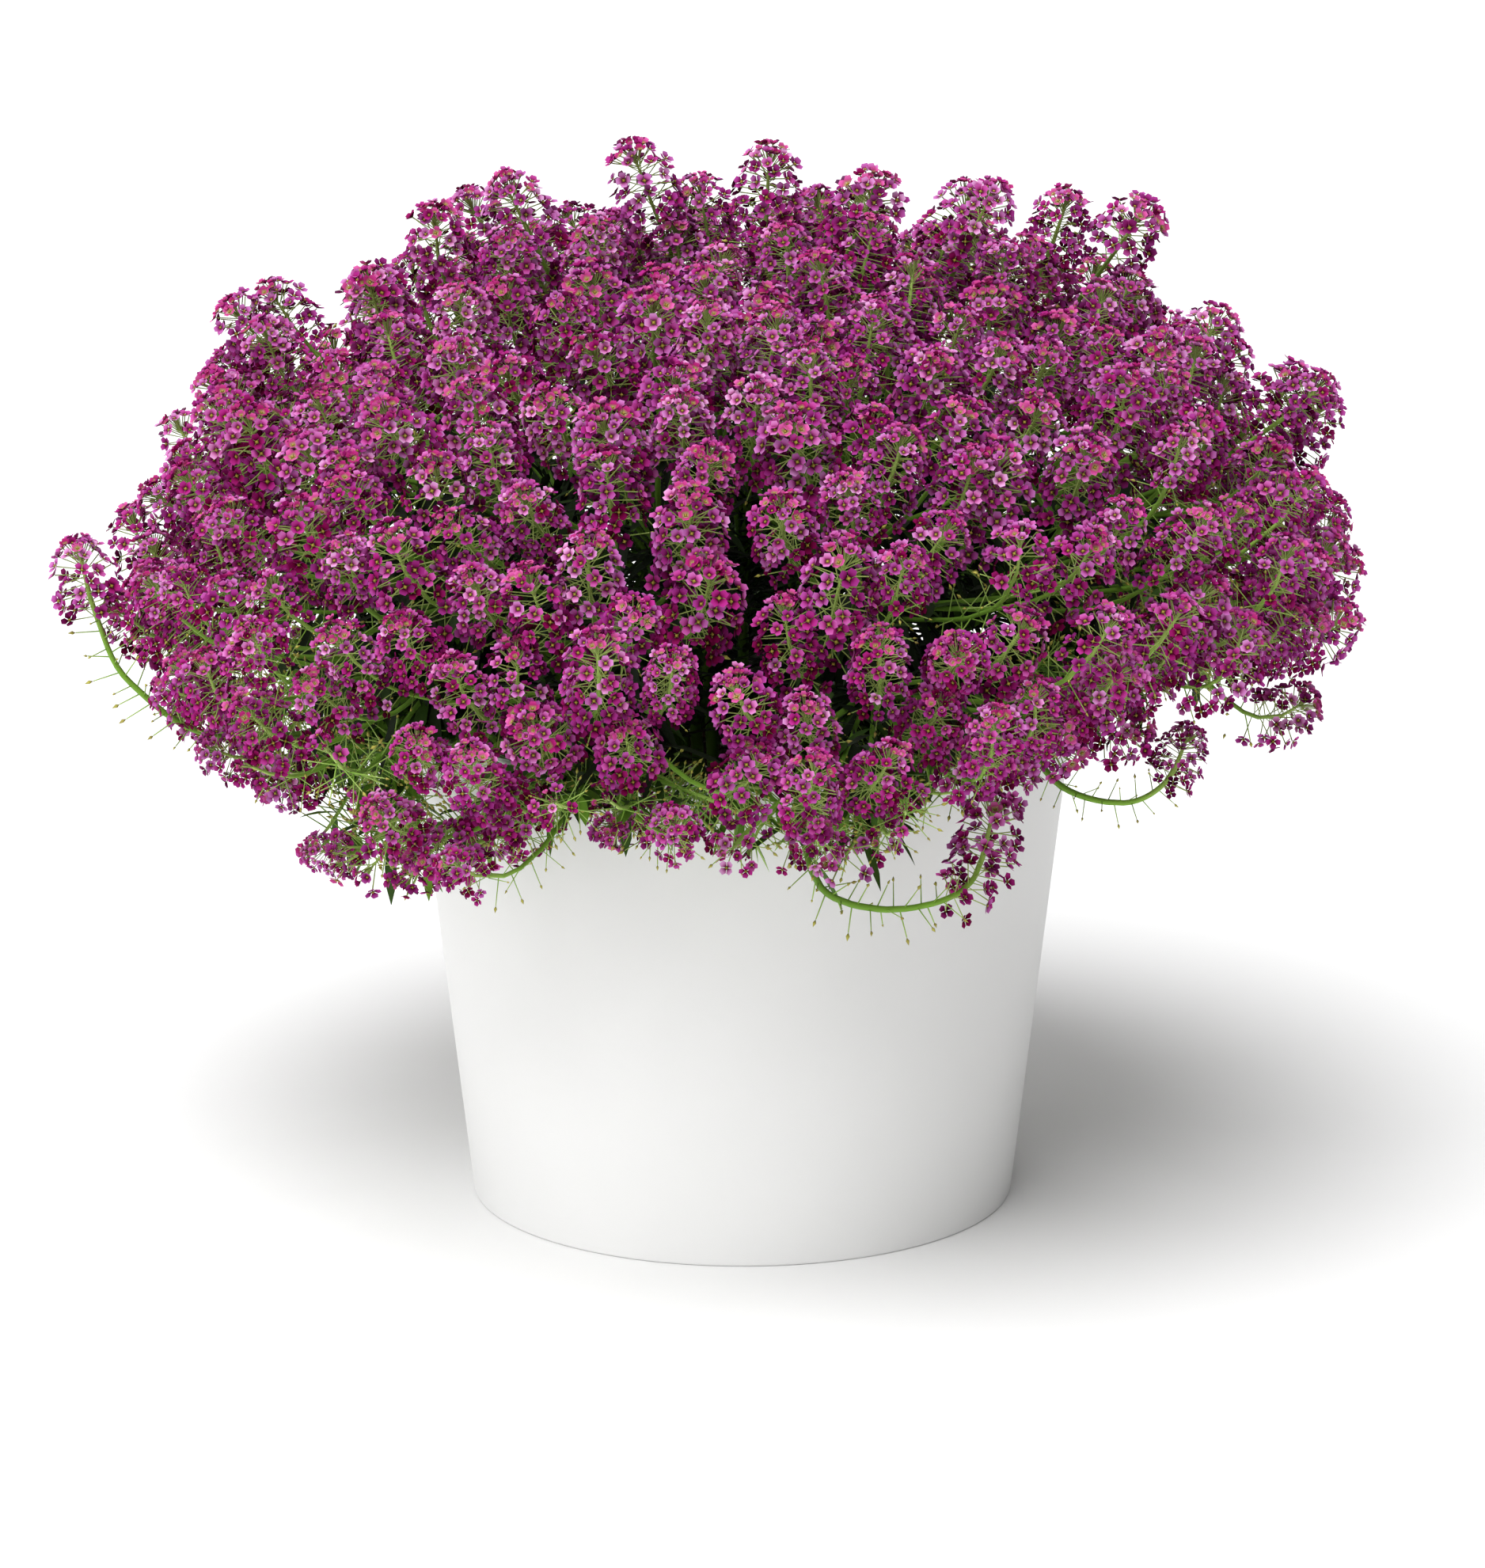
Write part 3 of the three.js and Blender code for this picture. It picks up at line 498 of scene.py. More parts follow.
def floret_form(kind, cup):
    """Points, places and triangles of one floret, its petals raised from flat by an angle."""
    points, places, faces = [], [], []
    petal, petal_faces = PETALS[kind]
    count = len(petal)
    out = petal[:, 0] * math.cos(cup) - petal[:, 2] * math.sin(cup) * CURL
    up = petal[:, 0] * math.sin(cup) + petal[:, 2] * math.cos(cup)
    across = petal[:, 1]
    for k in range(PETALS_PER_FLORET):
        angle = k * TURN / PETALS_PER_FLORET
        cos, sin = math.cos(angle), math.sin(angle)
        points.append(np.stack([out * cos - across * sin, out * sin + across * cos, up], -1))
        places.append(petal[:, 3])
        faces.append(petal_faces + count * k)
    corners = np.arange(EYE_SIDES) * TURN / EYE_SIDES + TURN / 8
    eye = [(EYE_RADIUS * math.cos(a), EYE_RADIUS * math.sin(a), EYE_HEIGHTS[0]) for a in corners]
    points.append(np.array([*eye, (0, 0, EYE_HEIGHTS[1])]))
    places.append(np.array([EYE_PLACE] * EYE_SIDES + [0.0]))
    first, top = PETALS_PER_FLORET * count, PETALS_PER_FLORET * count + EYE_SIDES
    faces.append(np.array([[first + k, first + (k + 1) % EYE_SIDES, top] for k in range(EYE_SIDES)]))
    return np.concatenate(points), np.concatenate(places), np.concatenate(faces)


FLORETS = {kind: floret_form(kind, FLORET_CUP) for kind in PETALS}
YOUNG_FLORET = floret_form("cupped", YOUNG_CUP)[0]
BUD = np.array([[0, 0, 0], [0.62, 0, 0.8], [-0.31, 0.54, 0.8], [-0.31, -0.54, 0.8], [0, 0, 1.9]])
BUD_FACES = np.array([[0, 2, 1], [0, 3, 2], [0, 1, 3], [1, 2, 4], [2, 3, 4], [3, 1, 4]])
BUD_PLACES = np.array([0.3, 0.5, 0.5, 0.5, 0.85])
PAINT_RANGE = (0.004, 0.996)


def unit(vectors):
    """The vectors at a length of one."""
    return vectors / np.maximum(np.linalg.norm(vectors, axis=-1, keepdims=True), 1e-9)


def frames(normals, spins=0.0):
    """Three directions at each normal: two square to it, turned about it by its spin, and its own."""
    helper = np.where(np.abs(normals[:, 2:3]) < 0.9, [[0.0, 0.0, 1.0]], [[1.0, 0.0, 0.0]])
    side = unit(np.cross(helper, normals))
    other = np.cross(normals, side)
    cos, sin = np.cos(spins), np.sin(spins)
    return side * cos + other * sin, other * cos - side * sin, normals


class Growth:
    """Gathers the points and triangles of one piece, with a tint and a place for each point."""

    def __init__(self):
        self.points, self.faces, self.paint, self.count = [], [], [], 0

    def add(self, points, faces, tints, places):
        self.points.append(points.reshape(-1, 3))
        self.faces.append(faces.reshape(-1, 3) + self.count)
        self.paint.append(np.stack([tints.ravel(), places.ravel()], -1))
        self.count += len(self.points[-1])

    def stamp(self, forms, faces, places, centres, axes, tints):
        """Sets a copy of a form, or one form each, at every centre, along three axes of its own."""
        points = centres.reshape(len(centres), -1, 3)
        for k, axis in enumerate(axes):
            points = points + forms[..., k:k + 1] * axis[:, None]
        count, size = points.shape[:2]
        faces = faces + size * np.arange(count)[:, None, None]
        tints = np.repeat(tints[:, None], size, axis=1)
        self.add(points, faces, tints, np.broadcast_to(places, (count, size)))

    def piece(self, name, material, slot, node):
        points, faces = np.concatenate(self.points) * MM, np.concatenate(self.faces)
        paint = np.clip(np.concatenate(self.paint), *PAINT_RANGE)
        built = build_piece(name, points, faces, [material], paint)
        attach(built, "root")
        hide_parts(node)


def tubes(growth, paths, radii, sides, tints, places, ribs=0.0):
    """Thin round stems along paths of as many points. radii, tints and places fit a value to each point."""
    count, rings = paths.shape[:2]
    ways = unit(np.gradient(paths, axis=1)).reshape(-1, 3)
    start = unit(paths[:, -1] - paths[:, 0])
    helper = np.where(np.abs(start[:, 2:3]) < 0.8, [[0.0, 0.0, 1.0]], [[1.0, 0.0, 0.0]])
    hint = np.repeat(np.cross(helper, start), rings, axis=0)
    side = unit(hint - ways * np.sum(hint * ways, -1, keepdims=True))
    other = np.cross(ways, side)
    angles = np.arange(sides) * TURN / sides
    reach = np.broadcast_to(radii, (count, rings)).reshape(-1, 1) * (1 + ribs * (-1.0) ** np.arange(sides))
    across, up = (reach * np.cos(angles))[..., None], (reach * np.sin(angles))[..., None]
    points = paths.reshape(-1, 1, 3) + across * side[:, None] + up * other[:, None]
    tints, places = (
        np.repeat(np.broadcast_to(values, (count, rings)).reshape(-1, 1), sides, axis=1)
        for values in (tints, places)
    )
    growth.add(points, ring_faces(count, rings, sides), tints, places)


def bezier(ends, steps):
    """Points along the curves that a list of control points gives."""
    t = np.linspace(0, 1, steps)[:, None]
    degree = len(ends) - 1
    weights = [math.comb(degree, k) * (1 - t) ** (degree - k) * t ** k for k in range(degree + 1)]
    return sum(weight * np.asarray(end) for weight, end in zip(weights, ends))


# Petals: soft, thin and velvety. Florets come in a redder and in a bluer magenta, so the tint runs twice
# from the deep wine of an old floret to the pale lilac of a fresh one, with the rose and cream of one just
# open between them. The deepest wine at the dark end of each run is partly painted shade. Towards the
# floret's middle each petal darkens round a yellow-green eye, partly its own dark ring and partly painted
# shade in the floret's cup.
alyssum_petal, tree, shader = new_material("alyssum_petal")
spread = add_node(tree, "UVMap", {"uv_map": "OFBake"}).outputs["UV"]
split = add_node(tree, "SeparateXYZ", inputs={"Vector": spread})
tint, place = split.outputs["X"], split.outputs["Y"]
# The tint gives the blade its colour and picks the florets that are just open. The place on the petal gives
# the throat's darkening, partly painted shade, the cream heart of the just open ones, and the eye.
petal_ramps = {
    "blade": (tint, [
        (0.0, "#40041C"), (0.09, "#840E50"), (0.18, "#B2328E"), (0.28, "#CA72B8"), (0.36, "#E4AAD8"),
        (0.4, "#AE2274"), (0.48, "#DA6CB0"),
        (0.52, "#380422"), (0.64, "#761658"), (0.76, "#A63E94"), (0.88, "#C67CC0"), (1.0, "#E0B0DA"),
    ]),
    "just_open": (tint, [(0.375, "#000000"), (0.38, "#FFFFFF"), (0.495, "#FFFFFF"), (0.5, "#000000")]),
    "throat": (place, [
        (0.2, "#4C1830"), (0.34, "#844060"), (0.5, "#CC94B2"), (0.7, "#F0D4E4"), (1.0, "#FFFFFF"),
    ]),
    "heart": (place, [(0.12, "#FFFFFF"), (0.36, "#909090"), (0.6, "#000000")]),
    "eye": (place, [(0.0, "#BCAA48"), (0.045, "#807030"), (0.09, "#341C14")]),
}
blade, just_open, throat, heart, eye = (
    add_node(tree, "ValToRGB", inputs={"Fac": value}, stops=stops).outputs["Color"]
    for value, stops in petal_ramps.values()
)
shaded = add_node(tree, "VectorMath", {"operation": "MULTIPLY"}, {0: blade, 1: throat})
creamy = add_node(tree, "Math", {"operation": "MULTIPLY"}, {0: just_open, 1: heart})
colours = {"Factor": creamy.outputs["Value"], "A": shaded.outputs["Vector"], "B": linear("#ECE09A")}
petal = add_node(tree, "Mix", {"data_type": "RGBA"}, colours)
rim = add_node(tree, "MapRange", inputs={"Value": place, "From Min": 0.09, "From Max": 0.12})
colours = {"Factor": rim.outputs["Result"], "A": eye, "B": petal.outputs["Result"]}
floret_colour = add_node(tree, "Mix", {"data_type": "RGBA"}, colours)
tree.links.new(floret_colour.outputs["Result"], shader.inputs["Base Color"])
shader.inputs["Roughness"].default_value = 0.7
shader.inputs["Specular IOR Level"].default_value = 0.02

# Stems and leaves: matt green under fine grey hairs. The first tint is a leaf darkened as painted shade,
# then come a leaf in the open, the stem, the pale pedicel, the wine-red calyx and last the yellowish pod.
green_growth, tree, shader = new_material("alyssum_green")
spread = add_node(tree, "UVMap", {"uv_map": "OFBake"}).outputs["UV"]
split = add_node(tree, "SeparateXYZ", inputs={"Vector": spread})
TINTS = {"stem": 0.44, "pedicel": 0.58, "calyx": 0.8, "pod": 0.96}
green_stops = [
    (0.0, "#10180A"), (0.26, "#3E5E1E"), (TINTS["stem"], "#7AA836"), (TINTS["pedicel"], "#ACC66A"),
    (TINTS["calyx"], "#6C2444"), (TINTS["pod"], "#B6B050"),
]
tint = add_node(tree, "ValToRGB", inputs={"Fac": split.outputs["X"]}, stops=green_stops)
# The place scales the colour: leaves paler at the midrib, stems darker at the foot, partly as painted shade.
lights = {"Value": split.outputs["Y"], "To Min": 0.72, "To Max": 1.18}
light = add_node(tree, "MapRange", inputs=lights)
factors = {"Vector": tint.outputs["Color"], "Scale": light.outputs["Result"]}
green_colour = add_node(tree, "VectorMath", {"operation": "SCALE"}, factors)
tree.links.new(green_colour.outputs["Vector"], shader.inputs["Base Color"])
shader.inputs["Roughness"].default_value = 0.6
shader.inputs["Specular IOR Level"].default_value = 0.2
shader.inputs["Sheen Weight"].default_value = 0.04

# Flower heads. Each is a raceme: buds at its tip, then florets that open from below on spreading pedicels,
# and under them bare pedicels that have shed their florets and hold tiny pods. Each kind has the depth of
# its florets down the stem, and the least and most of its florets and of its bare pedicels.
RACEMES = {
    "ball": (25, (57, 67), (2, 6)),
    "long": (40, (72, 84), (3, 7)),
    "comb": (16, (32, 42), (20, 28)),
    "bare": (8, (4, 8), (28, 36)),
}
GATHERED = 1.85
DOME_SHARE = 0.34
BUDS_PER_HEAD = 7
GOLDEN_ANGLE = 2.39996
HEAD_LIFT = 6.0
PEDICEL_RADIUS = 0.22
SPENT_SPACING = 2.1
SHED_LENGTH = 1.25
CALYX_END = TINTS["calyx"] - 0.17
DOME_DEPTH = 9
ROSY_SHARE = 0.6
ROSY_TINTS = (0.4, 0.48)
BUD_TINT = 0.14
POD = BUD * [1.0, 1.0, 1.3]
HIDDEN = -0.5


def side_stem(root, way, head, draw):
    """The way of a side stem from its root on the trunk to the top of its head's axis."""
    axis = head["axis"]
    top = head["tip"] - axis * HEAD_LIFT * head["size"]
    span = np.linalg.norm(top - root)
    sway = unit(np.cross(axis, draw.normal(size=3))) * draw.uniform(0.0, 0.09) * span
    return bezier([root, root + way * span * 0.38, top - axis * span * 0.45 + sway, top], 28)


def add_raceme(
    greens, florets, stem, size, draw, thickness, kind, rings=12, spent=None, spacing=SPENT_SPACING,
    outward=None, coolness=0.5, paleness=0.0,
):
    """A stem with its buds, florets and spent pedicels. A head with an outward side is bare on its other."""
    depth, bloom_range, spent_range = RACEMES[kind]
    blooms = draw.integers(*bloom_range)
    spent = draw.integers(*spent_range) if spent is None else spent
    steps = np.linalg.norm(np.diff(stem, axis=0), axis=1)
    from_top = np.concatenate([np.cumsum(steps[::-1])[::-1], [0.0]])
    ways = unit(np.gradient(stem, axis=0))
    keep = np.linspace(0, len(stem) - 1, min(len(stem), rings)).round().astype(int)
    thin = np.interp(from_top[keep], [0, 12, 60, 160], [0.45, 0.8, 1.0, 1.15]) * thickness
    # Towards its foot the stem's tint deepens and its place darkens it, partly as painted shade in the
    # mound.
    hue = np.interp(from_top[keep], [0, 30, 120], [0.57, 0.46, 0.34])
    place = np.interp(from_top[keep], [0, 50, 160], [0.8, 0.5, 0.05])
    tubes(greens, stem[keep][None], thin, 6, hue, place, 0.1)

    # Buds come first, then florets that thin out down the stem, then the spent pedicels.
    total = blooms + BUDS_PER_HEAD + spent
    index = np.arange(total)
    share = (index - BUDS_PER_HEAD) / blooms
    reach = depth * size
    florets_at = 0.6 + (reach - 0.6) * np.clip(share, 0, None) ** GATHERED
    s = np.where(index < BUDS_PER_HEAD, 0.25 * index / BUDS_PER_HEAD, florets_at)
    s = np.where(share > 1, reach + (share - 1) * blooms * spacing, s)
    s = s + draw.uniform(-0.5, 0.5, total) * np.clip(s / 10, 0, 1)
    s = np.clip(s, 0.05, 0.96 * from_top[0])
    roots = np.stack([np.interp(s, from_top[::-1], stem[::-1, k]) for k in range(3)], -1)
    along = unit(np.stack([np.interp(s, from_top[::-1], ways[::-1, k]) for k in range(3)], -1))
    angle = index * GOLDEN_ANGLE + draw.uniform(-0.25, 0.25, total) + draw.uniform(0, TURN)
    radial = frames(along, angle[:, None])[0]
    spent_ones = index >= blooms + BUDS_PER_HEAD
    opening = np.interp(s / size, [0, 1, 3, 6, 10, 16, 34], [0.15, 0.5, 0.92, 1.3, 1.6, 1.5, 1.3])
    opening = opening + draw.uniform(-0.15, 0.15, total)
    length = np.interp(s / size, [0, 0.5, 1.2, 3, 8, 14, 44], [4, 7.4, 8.8, 10, 10.6, 11.2, 10.6])
    shed_length = 1.0 if outward is None else SHED_LENGTH
    length = length * size * draw.uniform(0.88, 1.08, total) * np.where(spent_ones, shed_length, 1.0)
    out = along * np.cos(opening)[:, None] + radial * np.sin(opening)[:, None]
    ends = roots + out * length[:, None]
    kept = np.full(total, True)
    if outward is not None:
        kept = (radial @ outward > HIDDEN) | (s < DOME_DEPTH * size)
    open_ones = (index >= BUDS_PER_HEAD) & ~spent_ones & kept
    buds = index < BUDS_PER_HEAD

    # Pedicels are straight and thin, and widen a little into the calyx under each floret.
    paths, bare = np.stack([roots, ends], 1), spent_ones[:, None]
    hue = np.where(bare, [TINTS["stem"], TINTS["pedicel"]], [TINTS["pedicel"], CALYX_END])
    width = np.where(bare, [1.4, 1.1], [0.9, 1.25]) * PEDICEL_RADIUS * size
    tubes(greens, paths[kept], width[kept], 3, hue[kept], 0.6)

    # The youngest florets face up and out and are small, cupped and rosy. The oldest, low under the dome,
    # are
    # the darkest: partly their own deeper colour and partly painted shade.
    age = np.clip(share, 0, 1)
    face = unit(out * 0.85 + along * 0.3 + np.array([0, -0.05, 0.22]) + draw.normal(0, 0.26, (total, 3)))
    bloom = np.interp(age, [0, 0.1, 0.3, 1], [0.66, 0.9, 1.07, 1.01]) * draw.uniform(0.9, 1.1, total) * size
    # This darkens the old florets low in a head, partly as their own colour and partly as painted shade.
    fade_and_shade = np.interp(age, [0, 0.05, 0.12, 0.4, 1], [0.38, 0.5, 0.63, 0.56, 0.28]) + paleness
    fade_and_shade = np.clip(fade_and_shade + draw.normal(0, 0.05) + draw.normal(0, 0.16, total), 0.02, 0.98)
    bluer = draw.uniform(0, 1, total) < coolness * np.interp(age, [0, 0.05, 0.2], [0.0, 0.3, 1.0])
    tint = np.where(bluer, 0.52 + 0.48 * fade_and_shade, 0.36 * fade_and_shade)
    rosy = draw.uniform(0, 1, total) < ROSY_SHARE * np.interp(age, [0.02, 0.12, 0.3], [1.0, 0.7, 0.0])
    tint = np.where(rosy, draw.uniform(*ROSY_TINTS, total), tint)
    spins = draw.uniform(0, TURN, total)
    youth = np.clip(np.clip(1 - age / 0.2, 0, 1) * 0.75 + draw.uniform(0, 0.4, total), 0, 1)
    for kind, (form, places, faces) in FLORETS.items():
        ones = open_ones & ((age < DOME_SHARE) == (kind == "cupped"))
        if kind == "cupped":
            young = youth[ones][:, None, None]
            form = form * (1 - young) + YOUNG_FLORET * young
        axes = frames(face[ones], spins[ones][:, None])
        florets.stamp(form * bloom[ones][:, None, None], faces, places, ends[ones], axes, tint[ones])
    sizes = size * draw.uniform(0.6, 0.95, (buds.sum(), 1, 1))
    axes, tints = frames(unit(out[buds])), np.full(buds.sum(), BUD_TINT)
    florets.stamp(BUD * sizes, BUD_FACES, BUD_PLACES, ends[buds], axes, tints)
    sizes = size * draw.uniform(0.8, 1.4, (spent_ones.sum(), 1, 1))
    axes, tints = frames(unit(out[spent_ones])), TINTS["pod"] + draw.uniform(-0.05, 0.05, spent_ones.sum())
    greens.stamp(POD * sizes, BUD_FACES, BUD_PLACES, ends[spent_ones], axes, tints)


# Leaves: narrow and pointed, folded along the midrib and arching down at the tip.
LEAF_STATIONS = {
    "fine": ([0.0, 0.22, 0.5, 0.78, 1.0], [0.1, 0.34, 0.5, 0.38, 0.02]),
    "plain": ([0.0, 0.3, 0.72, 1.0], [0.0, 0.42, 0.46, 0.0]),
}
LEAF_FOLD = 0.22
LEAF_KEEL = 0.16


def leaf_form(kind):
    """A leaf one long and one wide, with a row of three points where it has some width."""
    points, places, faces, rows = [], [], [], []
    for t, half in zip(*LEAF_STATIONS[kind]):
        if half:
            rows.append([len(points) + k for k in range(3)])
            points += [(t, -half, LEAF_FOLD * half), (t, 0, -LEAF_KEEL * half), (t, half, LEAF_FOLD * half)]
            places += [0.45, 0.9, 0.45]
        else:
            rows.append([len(points)] * 3)
            points.append((t, 0, 0))
            places.append(0.6)
    for a, b in zip(rows, rows[1:]):
        for k in range(2):
            faces += [(a[k], a[k + 1], b[k + 1]), (a[k], b[k + 1], b[k])]
    faces = [face for face in faces if len(set(face)) == 3]
    return np.array(points), np.array(places), np.array(faces)


LEAVES = {kind: leaf_form(kind) for kind in LEAF_STATIONS}


def leaves_along(greens, kind, path, draw, count, low, high, lengths, widths, spread=0.95, hue=0.2):
    """Leaves set round a stem between two shares of its length, each bent down by a share of its own."""
    shares = np.sort(draw.uniform(low, high, count))
    place = shares * (len(path) - 1)
    first = np.minimum(place.astype(int), len(path) - 2)
    part = (place - first)[:, None]
    roots = path[first] * (1 - part) + path[first + 1] * part
    along = unit(path[first + 1] - path[first])
    angle = np.arange(count) * GOLDEN_ANGLE + draw.uniform(0, TURN)
    radial = frames(along, angle[:, None])[0]
    ways = unit(along * draw.uniform(0.35, 0.9, count)[:, None] + radial * spread)
    level = unit(np.cross(ways, np.array([0.0, 0.0, 1.0]) + 1e-3))
    over = np.cross(level, ways)
    long, wide = draw.uniform(*lengths, count), draw.uniform(*widths, count)
    tints = np.clip(draw.normal(hue, 0.12, count), 0.01, 0.5)
    droop = draw.uniform(0.05, 0.4, count)
    leaf, leaf_places, leaf_faces = LEAVES[kind]
    leaves = leaf * np.stack([long, wide, wide], -1)[:, None]
    arched = roots[:, None] * np.ones((len(leaf), 1))
    arched[..., 2] -= leaf[:, 0] ** 2 * (long * droop)[:, None]
    greens.stamp(leaves, leaf_faces, leaf_places, arched, (ways, -level, over), tints)


# How a spray grows. Its trunk is bare of heads for its lower part, and its leaves are long above and short
# in the skirt. Each zone of the mound has its shares of ball, long and comb heads, and the rest are bare.
TRUNK_SHARE = 0.62
TRUNK_STEPS = 24
LEAVES_PER_TRUNK = 54
LEAVES_PER_STEM = 11
LEAVES_PER_SKIRT_STEM = 17
SKIRT_LEAF_TINT = 0.26
ZONES = [("high", 300), ("middle", 208), ("low", 0)]
HEAD_KINDS = {
    "high": (0.4, 0.52, 0.08),
    "middle": (0.22, 0.54, 0.24),
    "low": (0.14, 0.0, 0.46),
    "fringe": (0.04, 0.0, 0.3),
}
FRINGE_MIDDLE, FRINGE_HALF_WIDTH, FRINGE_FRONT = 22, 52, -100
COMB_PROUD = 12.0

# How the heads depart from their even rows. They turn up to the light, the high ones lean to the front, and
# each turns, sways and grows a little by itself. Further heads fill gaps wider than the limit.
UPRIGHT = (0.0, 0.55)
UPRIGHT_FRONT = 0.4
FORWARD = 0.62
HEAD_TURNS = 0.22
HEAD_SWAY = 9.0
SIZE_SPREAD = 0.13
SUNK = 0.045
TOP_SUNK = 8.0
SKYLINE_DROP = 4
GAP_LIMIT = 19
EXTRA_HEADS = 130
SEEN_SIZE, EXTRA_SIZE = 0.95, 0.9

# Tips of further heads that the photograph shows: across, away and up.
SEEN_HEADS = [
    (-17, 20, 386), (-104, 20, 381), (-178, 14, 347), (-222, -40, 250), (86, 20, 384), (-94, -152, 184),
    (-176, -92, 192), (212, -30, 200), (-200, -10, 318), (-233, -48, 240), (218, 0, 314),
    (-193, 10, 341), (-223, 4, 272), (118, -138, 212), (143, -120, 212), (98, -150, 206),
]
# Shifts of the heads near a place, as the mound isn't even: across, up, reach, shift across, shift up.
NUDGES = [
    (232, 237, 50, -12, 0), (-240, 250, 40, 7, -3), (-88, 374, 16, 0, 6), (-172, 336, 22, 3, -4),
    (-161, 316, 18, 0, -14), (-200, 300, 20, -3, 6), (-40, 386, 14, 1, 3), (215, 308, 30, 0, -3),
    (90, 373, 18, 0, 6), (140, 150, 62, -4, 60), (182, 188, 50, -9, 20), (-130, 165, 34, 0, -12),
    (-63, 178, 22, 0, 14), (-96, 176, 20, 0, -12), (70, 178, 26, 0, 8), (158, 172, 34, 0, 20),
    (125, 185, 26, 0, 14), (178, 195, 24, 0, 8), (-62, 352, 22, 0, -6), (83, 372, 14, 3, -2),
    (205, 302, 16, 0, -6), (120, 370, 12, -2, -3), (-195, 311, 10, 5, -5), (72, 350, 16, 0, -9),
    (178, 310, 12, 0, -5), (33, 344, 12, 0, -5), (-17, 362, 9, 0, -5), (-186, 182, 14, 4, 6),
]
# Gaps between the heads, seen from the front: across and up from the middle of the view, and reach.
CLEARINGS = [
    (-162, 166, 13), (-113, 191, 8), (-68, 216, 10), (-38, 213, 10), (100, 199, 8), (197, 129, 13),
    (168, 111, 8), (-149, -10, 12), (194, 16, 13),
]
# Old racemes that hang under the skirt: how many a spray has, and the tips of the lowest ones.
SPENT_RACEMES = 9
FRINGE_TIPS = [
    (-44, -165, 186), (-25, -168, 188), (-9, -166, 182), (3, -166, 178), (17, -165, 176), (31, -160, 180),
    (-133, -138, 163), (-119, -142, 160), (-142, -130, 163), (-105, -150, 170), (48, -158, 180),
]


def ease(value, low, high):
    """A smooth rise from nought to one between two values."""
    share = np.clip((value - low) / (high - low), 0, 1)
    return share * share * (3 - 2 * share)


def nudged(place):
    """The place with the shifts of the heads near it."""
    for across, up, reach, shift, lift in NUDGES:
        near = math.exp(-((place[0] - across) ** 2 + (place[2] - up) ** 2) / reach ** 2)
        place = place + near * np.array([shift, 0, lift])
    return place


def seen(place):
    """Where a place shows from the front, across and up from the middle of the view."""
    above = place[2] - LOOK_AT_HEIGHT / MM
    up = above * math.cos(ELEVATION) + place[1] * math.sin(ELEVATION)
    away = place[1] * math.cos(ELEVATION) - above * math.sin(ELEVATION)
    nearness = DISTANCE / (DISTANCE + away * MM)
    return place[0] * nearness, up * nearness


def stands_clear(head):
    """Whether a head keeps out of the gaps."""
    across, up = seen(head["middle"])
    return head["lifted"] or all(math.hypot(across - x, up - z) > reach for x, z, reach in CLEARINGS)


draw_heads = np.random.default_rng(4100)
for head in all_heads:
    middle = (head["tip"] + head["base"]) / 2
    facing = max(0.0, -middle[1] / max(1.0, math.hypot(middle[0], middle[1])))
    high = ease(middle[2], 270, 340)
    up = draw_heads.uniform(*UPRIGHT) + UPRIGHT_FRONT * facing * (1 - high)
    head["axis"] = unit(head["axis"] + [0, -FORWARD * high, up] + draw_heads.normal(0, HEAD_TURNS, 3))
    head["size"] *= 1 + draw_heads.uniform(-SIZE_SPREAD, SIZE_SPREAD)
    if head["lifted"]:
        middle = head_middle(head) - [0, 0, SKYLINE_DROP]
    else:
        middle = middle + draw_heads.uniform(-HEAD_SWAY, HEAD_SWAY, 3) * [1, 1, 0.6]
        over = middle - [0, 0, MOUND_MIDDLE]
        top_drop = TOP_SUNK * ease(middle[2], 300, 360)
        middle = middle - over * SUNK * ease(over[2], 20, 80) - [0, 0, top_drop]
    head["middle"] = nudged(middle)

# Further heads join the nearest spray: those that the photograph shows, then one in each widest gap.
middles = np.array([head["middle"] for head in all_heads])
owners = [spray for spray in sprays for _ in spray["heads"]]


def join_nearest(middle, axis, size, **more):
    """Gives a further head to the spray whose head is the nearest."""
    owner = owners[int(np.argmin(np.linalg.norm(middles - middle, axis=1)))]
    owner["heads"].append({"axis": axis, "size": size, "middle": middle, **more})


taken = list(middles)
for spot in SEEN_HEADS:
    axis = unit(np.array([spot[0], spot[1] - 60, 260.0]) + draw_heads.normal(0, 30, 3))
    middle = np.array(spot, float) - axis * HEAD_LENGTH / 2
    join_nearest(middle, axis, SEEN_SIZE, lifted=True, kind="ball")
    taken.append(middle)

# The gaps are looked for at places all over the mound, a little inside its surface.
trial_runs = np.linspace(60, 395, 68)
trial_turns = np.linspace(0, TURN, 150, endpoint=False)
trials = [(*mound_at(run, turn), turn) for run in trial_runs for turn in trial_turns]
places = np.array([point for point, _, _ in trials])
places[:, 2] -= 20 * ease(places[:, 2], 200, 300)
places[:, :2] *= 0.9
places = np.array([nudged(place) for place in places])
gaps = np.min(np.linalg.norm(places[:, None] - np.array(taken)[None], axis=2), axis=1)
for _ in range(EXTRA_HEADS):
    widest = int(np.argmax(gaps))
    if gaps[widest] < GAP_LIMIT:
        break
    _, slope, turn = trials[widest]
    middle = places[widest] + draw_heads.uniform(-3, 3, 3)
    gaps = np.minimum(gaps, np.linalg.norm(places - middle, axis=1))
    lean = 0.45 * slope
    axis = unit(polar(math.sin(lean), turn, math.cos(lean)) + draw_heads.normal(0, HEAD_TURNS, 3))
    join_nearest(middle, axis, EXTRA_SIZE, lifted=False)


